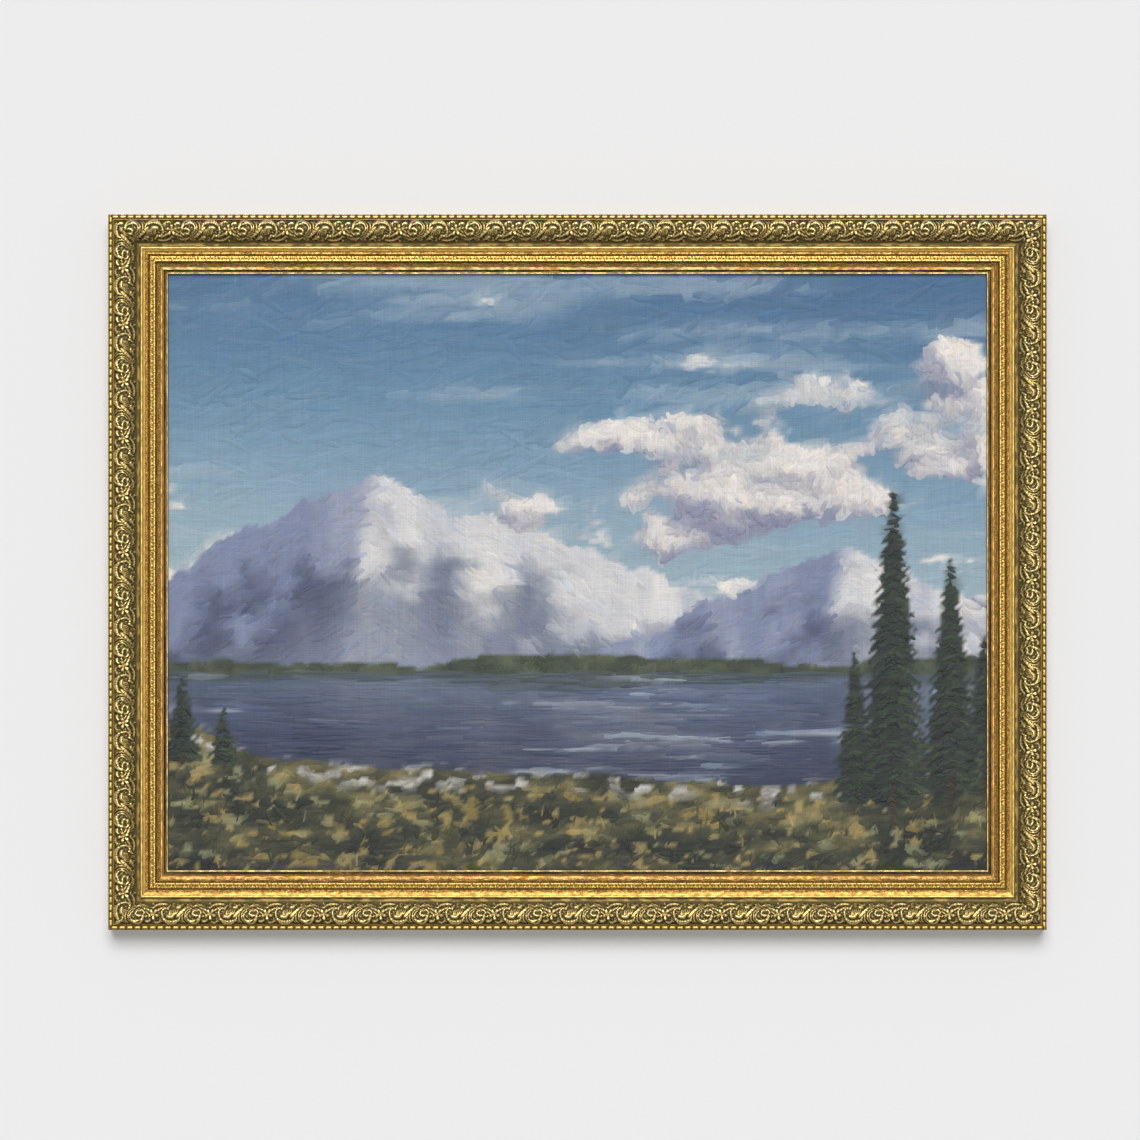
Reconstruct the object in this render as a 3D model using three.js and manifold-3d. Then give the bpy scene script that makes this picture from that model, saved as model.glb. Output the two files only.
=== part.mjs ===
// A framed oil painting on linen, made to hang on a wall.
//
// An ornate gilt moulding is cut into four rails with 45 degree mitres. Its section runs inwards from a
// rounded outer edge over a carved ogee, down into a plain cove and up over two narrow bands to the sight
// edge. A narrower gilt slip, again four mitred rails, sits in the rebate of the moulding and has a rebate
// of its own for the canvas. The linen is wrapped round four stretcher bars, which eight wooden keys spread
// at the corners. Four screwed steel clips hold it in from behind, and a saw-tooth hanger on the back of the
// top rail carries the whole.
//
// Millimetres, +Z up. The painting faces -Y. The wall is the plane Y = 0, and the origin is the middle of
// the hanger's flat face, which touches it.

import * as THREE from "three";
import { mergeVertices } from "three/addons/utils/BufferGeometryUtils.js";
import Module from "manifold-3d";

const wasm = await Module();
wasm.setup();

// Driving dimensions -------------------------------------------------------------------------------------

const SIGHT_WIDTH = 684; // opening that shows the painting
const SIGHT_HEIGHT = 498;
const FACE = 50; // width of moulding and slip together, outer edge to sight edge
const WIDTH = SIGHT_WIDTH + 2 * FACE;
const HEIGHT = SIGHT_HEIGHT + 2 * FACE;
const GAP = 0.3; // between pieces that touch
const SLACK = 0.4; // round the slip and the linen in their rebates
const STANDOFF = 3.5; // from the wall to the back of the rails
const HANGER_DROP = 17; // from the top edge of the frame to the middle of the hanger

// Moulding section: u runs from the outer edge inwards, h from the back of the rail to the front.
const EDGE_HEIGHT = 27.5; // seat of the rounded outer edge
const EDGE_RADIUS = 2.1;
const FILLET = 28.4; // the narrow flat between the edge and the carving
const OGEE = [ // the carved swell, steep outside and inside, and its fall into the cove
  [6, 27.6],
  [7.8, 33],
  [19.2, 33.6],
  [22.6, 28],
  [25.2, 26],
];
const COVE_END = 26.7;
const BEAD_RADIUS = 1.8; // the plain half round inside the cove
const BAND_START = 34.4; // the leaf-tip band along the sight edge
const SIGHT_LIP = 40.2; // sight edge of the moulding itself
const REBATE = 34; // wall of the moulding's rebate
const REBATE_HEIGHT = 22.6; // underside of its lip

// Slip and canvas
const SLIP_BACK = 8;
const SLIP_LIP = 24; // highest point of the slip
const CANVAS_SEAT = 19.4; // face of the slip's rebate, against which the painted side lies
const CANVAS_REBATE = 45;
const CANVAS_BACK = 0; // level with the back of the moulding
const LINEN = 0.8;
const PAINTED_LINEN = 1;
const LINEN_MARGIN = 13; // linen turned over the back of the stretcher

// Stretcher
const BAR_WIDTH = 38;
const BAR_SLOPE = 4.4; // how far a bar's front falls away from the linen
const KEY_LENGTH = 34;
const KEY_WIDTH = 13;
const KEY_POINT = 3; // width of a key at its point
const KEY_THICKNESS = 3.4;
const KEY_NOTCH = 8; // how far a key's point enters the bar at the corner
const KEY_STEP = 4.4; // between the planes of a corner's two keys, which pass each other

// Steel fittings
const STRIP = 1.2;
const CLIP_WIDTH = 12;
const CLIP_OUTER = 19; // clip's ends, measured like u
const CLIP_INNER = 64;
const CLIP_SCREW = 26;
const CLIP_PLACES = [-220, 220]; // along the top and bottom rails, from their middle
const SCREW_RADIUS = 1.5;
const SCREW_HEAD = 3.1;
const HEAD_RISE = 0.9;
const SCREW_LENGTH = 12;
const SCREW_SIDES = 6;
const SCREW_PLAY = 0.5; // round a screw in the holes of the steel
const HANGER_LENGTH = 92;
const HANGER_HEIGHT = 14;
const HANGER_FOOT = 18; // each flat end, which lies on the rail
const HANGER_BEND = 4; // run over which the strip rises from a foot to its middle
const TOOTH_PITCH = 4;
const TOOTH_DEPTH = 3;

// The carved scroll, repeated along every rail. t runs along the rail, clockwise round the frame.
const REPEAT = 47.4;
const PHASES = { top: 20.5, right: 35.2, bottom: 1.3, left: 45.1 }; // first volute from the rail's corner
const RELIEF = 2.3; // height of the fullest forms over the ground
const VOLUTE_RADIUS = 4;
const VOLUTE_START = 190; // degrees from the run of the rail towards the sight edge
const VOLUTE_END = 425;
const ROOT = 0.5; // how far carved forms reach into the ground

// Sections -----------------------------------------------------------------------------------------------

/** Height of the ogee at u. */
function ogee(u) {
  const next = Math.max(OGEE.findIndex(([line]) => line >= u), 1);
  const [[u0, h0], [u1, h1]] = [OGEE[next - 1], OGEE[next]];
  return h0 + ((h1 - h0) * (u - u0)) / (u1 - u0);
}

/** Points on an arc, from one angle to another in degrees. */
function arc(centre, radius, from, to, steps) {
  return Array.from({ length: steps + 1 }, (_, i) => {
    const angle = THREE.MathUtils.degToRad(from + ((to - from) * i) / steps);
    return [centre[0] + radius * Math.cos(angle), centre[1] + radius * Math.sin(angle)];
  });
}

function mouldingSection() {
  const coveHeight = OGEE.at(-1)[1];
  return [
    [1, 0],
    [0, 1],
    ...arc([EDGE_RADIUS, EDGE_HEIGHT], EDGE_RADIUS, 180, 10, 5),
    [4.3, FILLET],
    [5, FILLET],
    [5.1, OGEE[0][1]],
    ...OGEE,
    [COVE_END, coveHeight],
    ...arc([COVE_END + BEAD_RADIUS, coveHeight + 1.5], BEAD_RADIUS, 170, 15, 4),
    [32, 27.2],
    [32.4, 27.7],
    [32.8, 27.1],
    [34.2, 26.2],
    [BAND_START, 26.7],
    [35.6, 27.8],
    [37.1, 28.2],
    [38.6, 27.7],
    [SIGHT_LIP, 26],
    [SIGHT_LIP, REBATE_HEIGHT],
    [REBATE, REBATE_HEIGHT],
    [REBATE, 0],
  ];
}

function slipSection() {
  const outer = REBATE + SLACK;
  return [
    [outer, SLIP_BACK],
    [outer, REBATE_HEIGHT - GAP],
    [SIGHT_LIP + 0.3, REBATE_HEIGHT - GAP],
    ...arc([43.4, 21.6], 3.2, 155, 40, 4),
    [46.4, 22],
    [47.7, 22],
    [48, 23.4],
    [48.8, SLIP_LIP],
    [49.6, SLIP_LIP - 0.2],
    [FACE, 23.2],
    [FACE, CANVAS_SEAT],
    [CANVAS_REBATE, CANVAS_SEAT],
    [CANVAS_REBATE, SLIP_BACK],
  ];
}

/** A bar with a raised outer bead, so that the linen touches it only there. */
function stretcherSection(outer, back, front) {
  const inner = outer + BAR_WIDTH;
  return [
    [outer, back],
    [outer, front - 1],
    [outer + 1, front],
    [outer + 5, front],
    [outer + 8, front - 2.2],
    [inner - 1, front - BAR_SLOPE + 1],
    [inner, front - BAR_SLOPE],
    [inner, back],
  ];
}

// Solids -------------------------------------------------------------------------------------------------

/** A three.js geometry as a manifold-3d solid, for joining and cutting. */
function solid(geometry) {
  const plain = geometry.index ? geometry.toNonIndexed() : geometry;
  const bare = new THREE.BufferGeometry().setAttribute("position", plain.getAttribute("position"));
  const merged = mergeVertices(bare, 1e-4);
  return new wasm.Manifold(
    new wasm.Mesh({
      numProp: 3,
      vertProperties: new Float32Array(merged.getAttribute("position").array),
      triVerts: new Uint32Array(merged.index.array),
    }),
  );
}

/** The solid back as a geometry with flat faces. */
function geometryOf(made) {
  const mesh = made.getMesh();
  const geometry = new THREE.BufferGeometry()
    .setAttribute("position", new THREE.BufferAttribute(mesh.vertProperties, 3))
    .setIndex(new THREE.BufferAttribute(mesh.triVerts, 1));
  const faceted = geometry.toNonIndexed();
  faceted.computeVertexNormals();
  return faceted;
}

/** A closed shape pushed out along Z from z0 to z1. */
function prism(points, z0, z1) {
  const shape = new THREE.Shape(points.map(([x, y]) => new THREE.Vector2(x, y)));
  const made = new THREE.ExtrudeGeometry(shape, { depth: z1 - z0, bevelEnabled: false });
  return made.translate(0, 0, z0);
}

/** A box between two opposite corners. */
function block(low, high) {
  const made = new THREE.BoxGeometry(...high.map((value, i) => value - low[i]));
  return made.translate(...high.map((value, i) => (value + low[i]) / 2));
}

/**
 * A mitred rail with a section given in (u, h). In its own frame the rail runs along X, its outer edge
 * is at Z = edge, its back at Y = 0 and its front towards -Y.
 */
function mitredRail(section, length, edge) {
  const geometry = prism(section.map(([u, h]) => [-u, h]), 0, 1);
  const position = geometry.getAttribute("position");
  for (let i = 0; i < position.count; i++) {
    const u = -position.getX(i);
    const h = position.getY(i);
    const side = position.getZ(i) > 0.5 ? 1 : -1;
    position.setXYZ(i, side * (length / 2 - u - GAP / 2), -h, edge - u);
  }
  return geometry;
}

/** All the space between the mitres of a rail, for trimming what is carved on it. */
function mitreTrim(length, edge) {
  const half = length / 2 - GAP / 2;
  const plan = [
    [-half, edge],
    [-half + SIGHT_LIP, edge - SIGHT_LIP],
    [half - SIGHT_LIP, edge - SIGHT_LIP],
    [half, edge],
  ];
  return prism(plan, 0, 2 * OGEE[2][1]).rotateX(Math.PI / 2);
}

// Carving ------------------------------------------------------------------------------------------------

/** Closed solid over rings of points, each ring joined to the next, with both ends closed by a fan. */
function loft(rings) {
  const around = rings[0].length;
  const points = rings.flat();
  const faces = [];
  for (let r = 0; r + 1 < rings.length; r++)
    for (let k = 0; k < around; k++) {
      const a = r * around + k;
      const b = r * around + ((k + 1) % around);
      faces.push(a, b, b + around, a, b + around, a + around);
    }
  const last = (rings.length - 1) * around;
  for (let k = 1; k + 1 < around; k++) faces.push(0, k + 1, k, last, last + k, last + k + 1);
  const geometry = new THREE.BufferGeometry();
  geometry.setAttribute("position", new THREE.Float32BufferAttribute(points.flat(), 3));
  geometry.setIndex(faces);
  return geometry;
}

/** A point of the carving, height over the ground included, in the rail's own frame. */
function carved(t, u, rise, edge) {
  return [t, -(ogee(u) + rise), edge - u];
}

/** A ridged stem through points [t, u, half width, rise], turned across its own run at each. */
function stem(points, edge) {
  const rings = points.map(([t, u, width, rise], i) => {
    const [t0, u0] = points[Math.max(i - 1, 0)];
    const [t1, u1] = points[Math.min(i + 1, points.length - 1)];
    const run = Math.hypot(t1 - t0, u1 - u0);
    const [acrossT, acrossU] = [((u1 - u0) / run) * width, (-(t1 - t0) / run) * width];
    return [
      carved(t + acrossT, u + acrossU, -ROOT, edge),
      carved(t, u, rise, edge),
      carved(t - acrossT, u - acrossU, -ROOT, edge),
    ];
  });
  return loft(rings);
}

/** A low star with a raised middle: its rim alternates between the tips of its lobes and the notches. */
function star(t, u, lobes, tip, notch, turn, rise, edge) {
  const around = 2 * lobes;
  const points = [];
  for (let k = 0; k < around; k++) {
    const angle = turn + (2 * Math.PI * k) / around;
    const reach = k % 2 ? notch : tip;
    points.push(carved(t + reach * Math.cos(angle), u + reach * Math.sin(angle), -ROOT, edge));
  }
  points.push(carved(t, u, rise, edge));
  const faces = [];
  for (let k = 0; k < around; k++) faces.push(k, around, (k + 1) % around);
  for (let k = 1; k < around; k += 2) faces.push(k, (k + 1) % around, (k + 2) % around);
  for (let k = 3; k + 1 < around; k += 2) faces.push(1, k, k + 2);
  const geometry = new THREE.BufferGeometry();
  geometry.setAttribute("position", new THREE.Float32BufferAttribute(points.flat(), 3));
  geometry.setIndex(faces);
  return geometry;
}

/** The volute: an open ring round (t, u), thick where it starts and thin where it runs out. */
function volute(t, u, edge) {
  const steps = 4;
  const points = Array.from({ length: steps + 1 }, (_, i) => {
    const angle = THREE.MathUtils.degToRad(VOLUTE_START + ((VOLUTE_END - VOLUTE_START) * i) / steps);
    const fullness = Math.sin((Math.PI * (i + 0.8)) / (steps + 1.2));
    return [
      t + VOLUTE_RADIUS * Math.cos(angle),
      u + VOLUTE_RADIUS * Math.sin(angle),
      0.5 + 1.5 * fullness,
      0.4 + (RELIEF - 0.4) * fullness,
    ];
  });
  return stem(points, edge);
}

/** One repeat of the scroll, its volute centred at t: volute, branch, the leaf it shelters and flower. */
function scrollRepeat(t, edge) {
  const branch = [
    [t + 5.6, 19, 0.6, 0.4],
    [t + 11.4, 13.6, 2.1, RELIEF],
    [t + 18.4, 9.6, 2, RELIEF],
    [t + 25, 11.6, 2, RELIEF],
    [t + 25.4, 18.4, 0.6, 0.4],
  ];
  return [
    volute(t, 13.4, edge),
    stem(branch, edge),
    star(t + 18.6, 15.6, 3, 3.6, 2.4, 0.5, RELIEF, edge),
    star(t + 34, 13.4, 5, 5.2, 3, 0.3, RELIEF, edge),
  ];
}

/** The carving of a whole rail as one solid, trimmed to the mitres. */
function carving(length, edge, phase) {
  const forms = [];
  for (let t = -length / 2 + phase - REPEAT; t < length / 2; t += REPEAT)
    forms.push(...scrollRepeat(t, edge).map(solid));
  const room = solid(mitreTrim(length, edge));
  return wasm.Manifold.union(forms).intersect(room);
}

// Fittings -----------------------------------------------------------------------------------------------

/** A screw with a domed head, its axis along Y, its head's underside at Y = 0 and its point at -Y. */
function screw() {
  const profile = [
    [0, -SCREW_LENGTH],
    [SCREW_RADIUS, -SCREW_LENGTH + 3],
    [SCREW_RADIUS, 0],
    [SCREW_HEAD, 0],
    [SCREW_HEAD * 0.6, HEAD_RISE],
    [0, HEAD_RISE],
  ];
  return new THREE.LatheGeometry(
    profile.map(([r, y]) => new THREE.Vector2(r, y)),
    SCREW_SIDES,
  );
}

/** A round cut along Y, from y0 to y1. */
function hole(x, z, radius, y0, y1) {
  return new THREE.CylinderGeometry(radius, radius, y1 - y0, 8).translate(x, (y0 + y1) / 2, z);
}

/** A flat steel strip from the rail over the back of the stretcher, in a rail's own frame. */
function clip(x, edge) {
  const half = CLIP_WIDTH / 2;
  const plate = block([x - half, GAP, edge - CLIP_INNER], [x + half, GAP + STRIP, edge - CLIP_OUTER]);
  const bore = hole(x, edge - CLIP_SCREW, SCREW_RADIUS + SCREW_PLAY, 0, 2 * STRIP);
  return geometryOf(solid(plate).subtract(solid(bore)));
}

/** The saw-tooth hanger: two flat feet, a raised middle whose flat face is at Y = 0, teeth below. */
function hanger() {
  const half = HANGER_LENGTH / 2;
  const foot = half - HANGER_FOOT;
  const bend = foot - HANGER_BEND;
  const low = -STANDOFF + GAP;
  const under = [[-half, low], [-foot, low], [-bend, -STRIP], [bend, -STRIP], [foot, low], [half, low]];
  const over = under.map(([x, y]) => [-x * (Math.abs(x) < half ? 1.02 : 1), y + STRIP]);
  const strip = solid(prism([...under, ...over], -HANGER_HEIGHT / 2, HANGER_HEIGHT / 2));

  const lower = -HANGER_HEIGHT / 2;
  const teeth = 2 * Math.floor(bend / TOOTH_PITCH) - 1;
  const reach = (teeth * TOOTH_PITCH) / 2;
  const comb = [[-reach, lower - 1]];
  for (let x = -reach; x < reach; x += TOOTH_PITCH)
    comb.push([x, lower + 0.5], [x + TOOTH_PITCH / 2, lower + TOOTH_DEPTH]);
  comb.push([reach, lower + 0.5], [reach, lower - 1]);
  const gullets = solid(prism(comb, -STRIP, 2 * STRIP).rotateX(Math.PI / 2));

  const bores = [-1, 1].map((end) =>
    solid(hole(end * (half - HANGER_FOOT / 2), 0, SCREW_RADIUS + SCREW_PLAY, -2 * STANDOFF, STANDOFF)),
  );
  return geometryOf(strip.subtract(wasm.Manifold.union([gullets, ...bores])));
}

/**
 * A wedge for a stretcher corner, its straight edge along X at Z = 0. Its point is at +X or -X, past the
 * corner of the opening at X = 0.
 */
function keyWedge(end, height) {
  const tip = end * (KEY_NOTCH - GAP);
  const head = -end * (KEY_LENGTH - KEY_NOTCH);
  const outline = [
    [tip, -GAP],
    [head, -GAP],
    [head, 1 - KEY_WIDTH],
    [head + 2 * end, -KEY_WIDTH],
    [tip, -KEY_POINT],
  ];
  return prism(outline, -KEY_THICKNESS / 2, KEY_THICKNESS / 2)
    .rotateX(Math.PI / 2)
    .translate(0, -height, 0);
}

/** Notch in a bar's inner edge for the point of the neighbour's key, at the bar's end at X = corner. */
function keyNotch(end, corner, innerEdge, height) {
  const mouth = KEY_POINT + ((KEY_WIDTH - KEY_POINT) * KEY_NOTCH) / (KEY_LENGTH - 2) + GAP;
  const [x0, x1] = [corner - end * mouth, corner].sort((a, b) => a - b);
  const half = KEY_THICKNESS / 2 + GAP;
  return block([x0, -height - half, innerEdge - 1], [x1, half - height, innerEdge + KEY_NOTCH]);
}

// Assembly -----------------------------------------------------------------------------------------------

const finishes = {
  gilding: new THREE.MeshStandardMaterial({ color: 0xb08a3e, roughness: 0.42, metalness: 0.8 }),
  slip: new THREE.MeshStandardMaterial({ color: 0xa9752c, roughness: 0.45, metalness: 0.75 }),
  painted: new THREE.MeshStandardMaterial({ color: 0x8f98a4, roughness: 0.6, metalness: 0 }),
  pine: new THREE.MeshStandardMaterial({ color: 0xc9a877, roughness: 0.7, metalness: 0 }),
  beech: new THREE.MeshStandardMaterial({ color: 0xb98d5c, roughness: 0.65, metalness: 0 }),
  steel: new THREE.MeshStandardMaterial({ color: 0xb9b6ac, roughness: 0.35, metalness: 1 }),
};

const picture = new THREE.Group();
picture.position.set(0, -STANDOFF, HANGER_DROP - HEIGHT / 2);

const sides = [
  { name: "top", turn: 0, length: WIDTH, edge: HEIGHT / 2, clips: CLIP_PLACES },
  { name: "right", turn: 1, length: HEIGHT, edge: WIDTH / 2, clips: [] },
  { name: "bottom", turn: 2, length: WIDTH, edge: HEIGHT / 2, clips: CLIP_PLACES },
  { name: "left", turn: 3, length: HEIGHT, edge: WIDTH / 2, clips: [] },
];

function add(name, geometry, finish, parent) {
  const mesh = new THREE.Mesh(geometry, finish);
  mesh.name = name;
  parent.add(mesh);
  return mesh;
}

const barOuter = CANVAS_REBATE + SLACK + LINEN + GAP;
const barBack = CANVAS_BACK + LINEN + GAP;
const barFront = CANVAS_SEAT - GAP - PAINTED_LINEN - GAP;
const keyHeight = (barBack + barFront - BAR_SLOPE) / 2;
const hangerScrews = [-1, 1].map((end) => (end * (HANGER_LENGTH - HANGER_FOOT)) / 2);

for (const side of sides) {
  const turned = new THREE.Group();
  turned.rotation.y = (side.turn * Math.PI) / 2;
  picture.add(turned);

  // Moulding with its carving and the pilot holes of the screws.
  let rail = solid(mitredRail(mouldingSection(), side.length, side.edge));
  rail = rail.add(carving(side.length, side.edge, PHASES[side.name]));
  const pilots = side.clips.map((x) => [x, side.edge - CLIP_SCREW]);
  if (side.name === "top") for (const x of hangerScrews) pilots.push([x, side.edge - HANGER_DROP]);
  for (const [x, z] of pilots) rail = rail.subtract(solid(hole(x, z, SCREW_RADIUS + GAP, -SCREW_LENGTH, 1)));
  add(`frame_rail_${side.name}`, geometryOf(rail), finishes.gilding, turned);

  add(`slip_${side.name}`, mitredRail(slipSection(), side.length, side.edge), finishes.slip, turned);

  // Stretcher bar, notched at both ends for the points of its neighbours' keys, and its own two keys.
  // The key at the start of a bar lies nearer the back than the one at its end, so that they pass.
  const barInner = barOuter + BAR_WIDTH;
  const innerEdge = side.edge - barInner;
  let bar = solid(mitredRail(stretcherSection(barOuter, barBack, barFront), side.length, side.edge));
  for (const [end, word] of [[-1, "a"], [1, "b"]]) {
    const corner = end * (side.length / 2 - barInner);
    const height = keyHeight + (end * KEY_STEP) / 2;
    bar = bar.subtract(solid(keyNotch(end, corner, innerEdge, keyHeight - (end * KEY_STEP) / 2)));
    const wedge = keyWedge(end, height).translate(corner, 0, innerEdge);
    add(`key_${side.name}_${word}`, wedge, finishes.beech, turned);
  }
  add(`stretcher_${side.name}`, geometryOf(bar), finishes.pine, turned);

  side.clips.forEach((x, i) => {
    add(`clip_${side.name}_${i + 1}`, clip(x, side.edge), finishes.steel, turned);
    const fixing = add(`clip_screw_${side.name}_${i + 1}`, screw(), finishes.steel, turned);
    fixing.position.set(x, 2 * GAP + STRIP, side.edge - CLIP_SCREW);
  });
}

// The linen: a shallow box round the stretcher, open behind inside its turned margin.
const linenX = WIDTH / 2 - CANVAS_REBATE - SLACK;
const linenZ = HEIGHT / 2 - CANVAS_REBATE - SLACK;
const front = -(CANVAS_SEAT - GAP);
const back = -CANVAS_BACK;
const wrap = block([-linenX, front, -linenZ], [linenX, back, linenZ]);
const inside = block(
  [-linenX + LINEN, front + PAINTED_LINEN, -linenZ + LINEN],
  [linenX - LINEN, back - LINEN, linenZ - LINEN],
);
const behind = block(
  [-linenX + LINEN_MARGIN, back - 2 * LINEN, -linenZ + LINEN_MARGIN],
  [linenX - LINEN_MARGIN, back + 1, linenZ - LINEN_MARGIN],
);
const linen = solid(wrap).subtract(solid(inside)).subtract(solid(behind));
add("canvas", geometryOf(linen), finishes.painted, picture);

const part = new THREE.Group();
part.add(picture);
add("hanger", hanger(), finishes.steel, part);
["left", "right"].forEach((word, i) => {
  const fixing = add(`hanger_screw_${word}`, screw(), finishes.steel, part);
  fixing.position.set(hangerScrews[i], -STANDOFF + 2 * GAP + STRIP, 0);
});

export default part;
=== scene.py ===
"""A framed oil painting: gilded moulding and slip, painted linen, stretcher and steel fittings.

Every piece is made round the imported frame. Lengths are written in millimetres and turned to metres where
they meet Blender. A rail is made lying along X as the top rail does: x runs along it, u goes inwards from its
outer edge and h stands out from its back. It is then turned about Y to its own side of the frame.
"""

import math
from contextlib import contextmanager

import bmesh
import bpy
import numpy as np
from bpy.props import FloatProperty, IntProperty, PointerProperty, StringProperty
from mathutils import Matrix, Vector


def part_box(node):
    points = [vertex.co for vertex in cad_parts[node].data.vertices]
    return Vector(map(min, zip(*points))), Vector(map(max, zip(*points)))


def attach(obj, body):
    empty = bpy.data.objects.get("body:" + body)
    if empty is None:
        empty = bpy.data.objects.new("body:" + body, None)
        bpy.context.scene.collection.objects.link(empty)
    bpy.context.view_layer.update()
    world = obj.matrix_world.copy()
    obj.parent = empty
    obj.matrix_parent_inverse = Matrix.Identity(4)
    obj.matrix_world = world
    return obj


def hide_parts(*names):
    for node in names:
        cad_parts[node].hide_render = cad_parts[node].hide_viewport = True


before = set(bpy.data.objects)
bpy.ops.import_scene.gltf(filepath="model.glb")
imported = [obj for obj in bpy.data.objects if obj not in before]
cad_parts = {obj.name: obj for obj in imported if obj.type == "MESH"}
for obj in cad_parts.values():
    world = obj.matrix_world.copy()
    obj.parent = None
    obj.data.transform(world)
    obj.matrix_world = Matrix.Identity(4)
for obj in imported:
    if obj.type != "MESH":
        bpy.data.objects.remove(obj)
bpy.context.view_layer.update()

bl_info = {
    "name": "Framed oil painting",
    "version": (1, 0, 0),
    "blender": (4, 5, 0),
    "location": "View3D > Sidebar > Picture",
    "description": "Makes the finished surfaces of a framed oil painting",
    "category": "Object",
}

MM = 0.001

# The frame's own measures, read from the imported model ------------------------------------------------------

RAIL_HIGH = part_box("frame_rail_top")[1]
LEFT_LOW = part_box("frame_rail_left")[0]
BOTTOM_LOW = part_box("frame_rail_bottom")[0]
RAIL_BACK = RAIL_HIGH.y
CENTRE_Z = (RAIL_HIGH.z + BOTTOM_LOW.z) / 2
HALF_WIDTH = -LEFT_LOW.x
HALF_HEIGHT = (RAIL_HIGH.z - BOTTOM_LOW.z) / 2
CANVAS_LOW, CANVAS_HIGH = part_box("canvas")
MITRE_GAP = 0.14  # mm between two rails at their mitre

# Each side: its quarter turns from the top, its length and how far its outer edge is from the middle.
SIDES = {
    "top": (0, 2 * HALF_WIDTH, HALF_HEIGHT),
    "right": (1, 2 * HALF_HEIGHT, HALF_WIDTH),
    "bottom": (2, 2 * HALF_WIDTH, HALF_HEIGHT),
    "left": (3, 2 * HALF_HEIGHT, HALF_WIDTH),
}


def placement(turn):
    """Takes a rail that lies as the top rail does to its own side."""
    return Matrix.Translation((0, RAIL_BACK, CENTRE_Z)) @ Matrix.Rotation(turn * math.pi / 2, 4, "Y")


# Sections, as (u, h) in millimetres ------------------------------------------------------------------------

SWELL = [(5.6, 26.8), (5.9, 28), (6.6, 30.7), (8.2, 33), (11, 34.2), (14, 34.2), (17, 33.4), (19.4, 31.8),
         (21.3, 29.6), (22.8, 27.9), (23.9, 27.1)]
EDGE_ROUND = [(0.4, 26), (0.5, 26.6), (0.9, 27.2), (1.7, 28), (2.7, 28.7), (3.5, 28.9), (4.05, 28.4),
              (4.25, 27.2)]
LEAF_BAND = [(34.45, 25.6), (34.75, 26.5), (35.3, 26.95), (36.1, 27.2), (37.3, 27.05), (38.3, 27.3),
             (39.1, 27.65), (39.75, 27.65), (40.05, 27.1), (40.15, 25.4)]


def arc(centre, radius, start, end, steps):
    """Points on an arc, angles in degrees from +u towards +h."""
    return [
        (centre[0] + radius * math.cos(math.radians(a)), centre[1] + radius * math.sin(math.radians(a)))
        for a in np.linspace(start, end, steps + 1)
    ]


def smooth(points, spacing):
    """A Catmull-Rom curve through points of any dimension, about evenly spaced."""
    known = np.array(points, float)
    known = np.vstack([2 * known[0] - known[1], known, 2 * known[-1] - known[-2]])
    made = []
    for a, b, c, d in zip(known, known[1:], known[2:], known[3:]):
        steps = max(1, math.ceil(np.linalg.norm((c - b)[:2]) / spacing))
        for s in np.arange(steps) / steps:
            made.append(0.5 * (2 * b + (c - a) * s + (2 * a - 5 * b + 4 * c - d) * s**2
                               + (3 * b - a - 3 * c + d) * s**3))
    return np.array(made + [known[-2]])


def seat(points):
    """The seat that a carved strip covers, a little under its ground."""
    depth = 0.6
    return [(u, h - depth) for u, h in smooth(points[1:-1], 1.2)]


def moulding_section():
    """The whole section of the moulding, with seats under its three carved strips."""
    return [
        (1, 0), (0, 1), (0, 21), (0.38, 25.9),
        *seat(EDGE_ROUND),
        (4.3, 27.9), (4.45, 28.5), (4.75, 28.65), (5.0, 28.4), (5.15, 27.2), (5.5, 26.9),
        *seat(SWELL),
        *smooth([(23.7, 26.95), (24.6, 26.35), (25.6, 26.05), (26.5, 26.15)], 0.4),
        (26.75, 25.9), (26.95, 26.6),
        *arc((28.3, 27.6), 1.35, 170, 62, 9),
        *smooth([(29.1, 28.6), (29.6, 28.35), (30.4, 28.2), (31.4, 28.05), (32.1, 27.8), (32.7, 27.85),
                 (33.2, 28.05), (33.6, 28), (33.95, 27.5)], 0.35),
        (34.1, 26.9), (34.3, 25.9),
        *seat(LEAF_BAND),
        (40.2, 25), (40.2, 22.6), (34, 22.6), (34, 0),
    ]


def slip_section():
    """The section of the slip: a thin bead, the rounded face, a groove and the lip at the painting."""
    return [
        (34.4, 8), (34.4, 22.3), (40.5, 22.3), (40.62, 23),
        *arc((41.05, 23), 0.42, 170, 20, 5),
        (41.5, 22.7), (41.7, 22.75),
        *smooth([(41.8, 23.8), (42.2, 24.1), (42.9, 23.95), (43.8, 23.68), (44.8, 23.58), (45.6, 23.72),
                 (46.2, 23.92), (46.55, 23.75), (46.7, 22.8)], 0.35),
        (46.75, 21.6), (47.1, 21.1), (48, 21.1), (48.3, 21.6), (48.38, 22.4),
        *arc((49.18, 22.9), 0.8, 160, 20, 7),
        (50, 22.8), (50, 19.4), (45, 19.4), (45, 8),
    ]


# Making meshes --------------------------------------------------------------------------------------------


def deselect():
    """Nothing stays selected, so the next operator acts on the new piece alone."""
    if bpy.context.object and bpy.context.object.mode != "OBJECT":
        bpy.ops.object.mode_set(mode="OBJECT")
    bpy.ops.object.select_all(action="DESELECT")


def pick(*pieces):
    """Selects these pieces and no other; the last is the active one."""
    deselect()
    for piece in pieces:
        piece.select_set(True)
    bpy.context.view_layer.objects.active = pieces[-1]


@contextmanager
def editing(piece, action="SELECT"):
    """Edit mode on one piece, all of it selected or none."""
    pick(piece)
    bpy.ops.object.mode_set(mode="EDIT")
    bpy.ops.mesh.select_all(action=action)
    yield
    bpy.ops.object.mode_set(mode="OBJECT")


def start(operator, name, **settings):
    """Adds a primitive and returns it, named."""
    deselect()
    operator(**settings)
    made = bpy.context.object
    made.name = made.data.name = name
    return made


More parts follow.
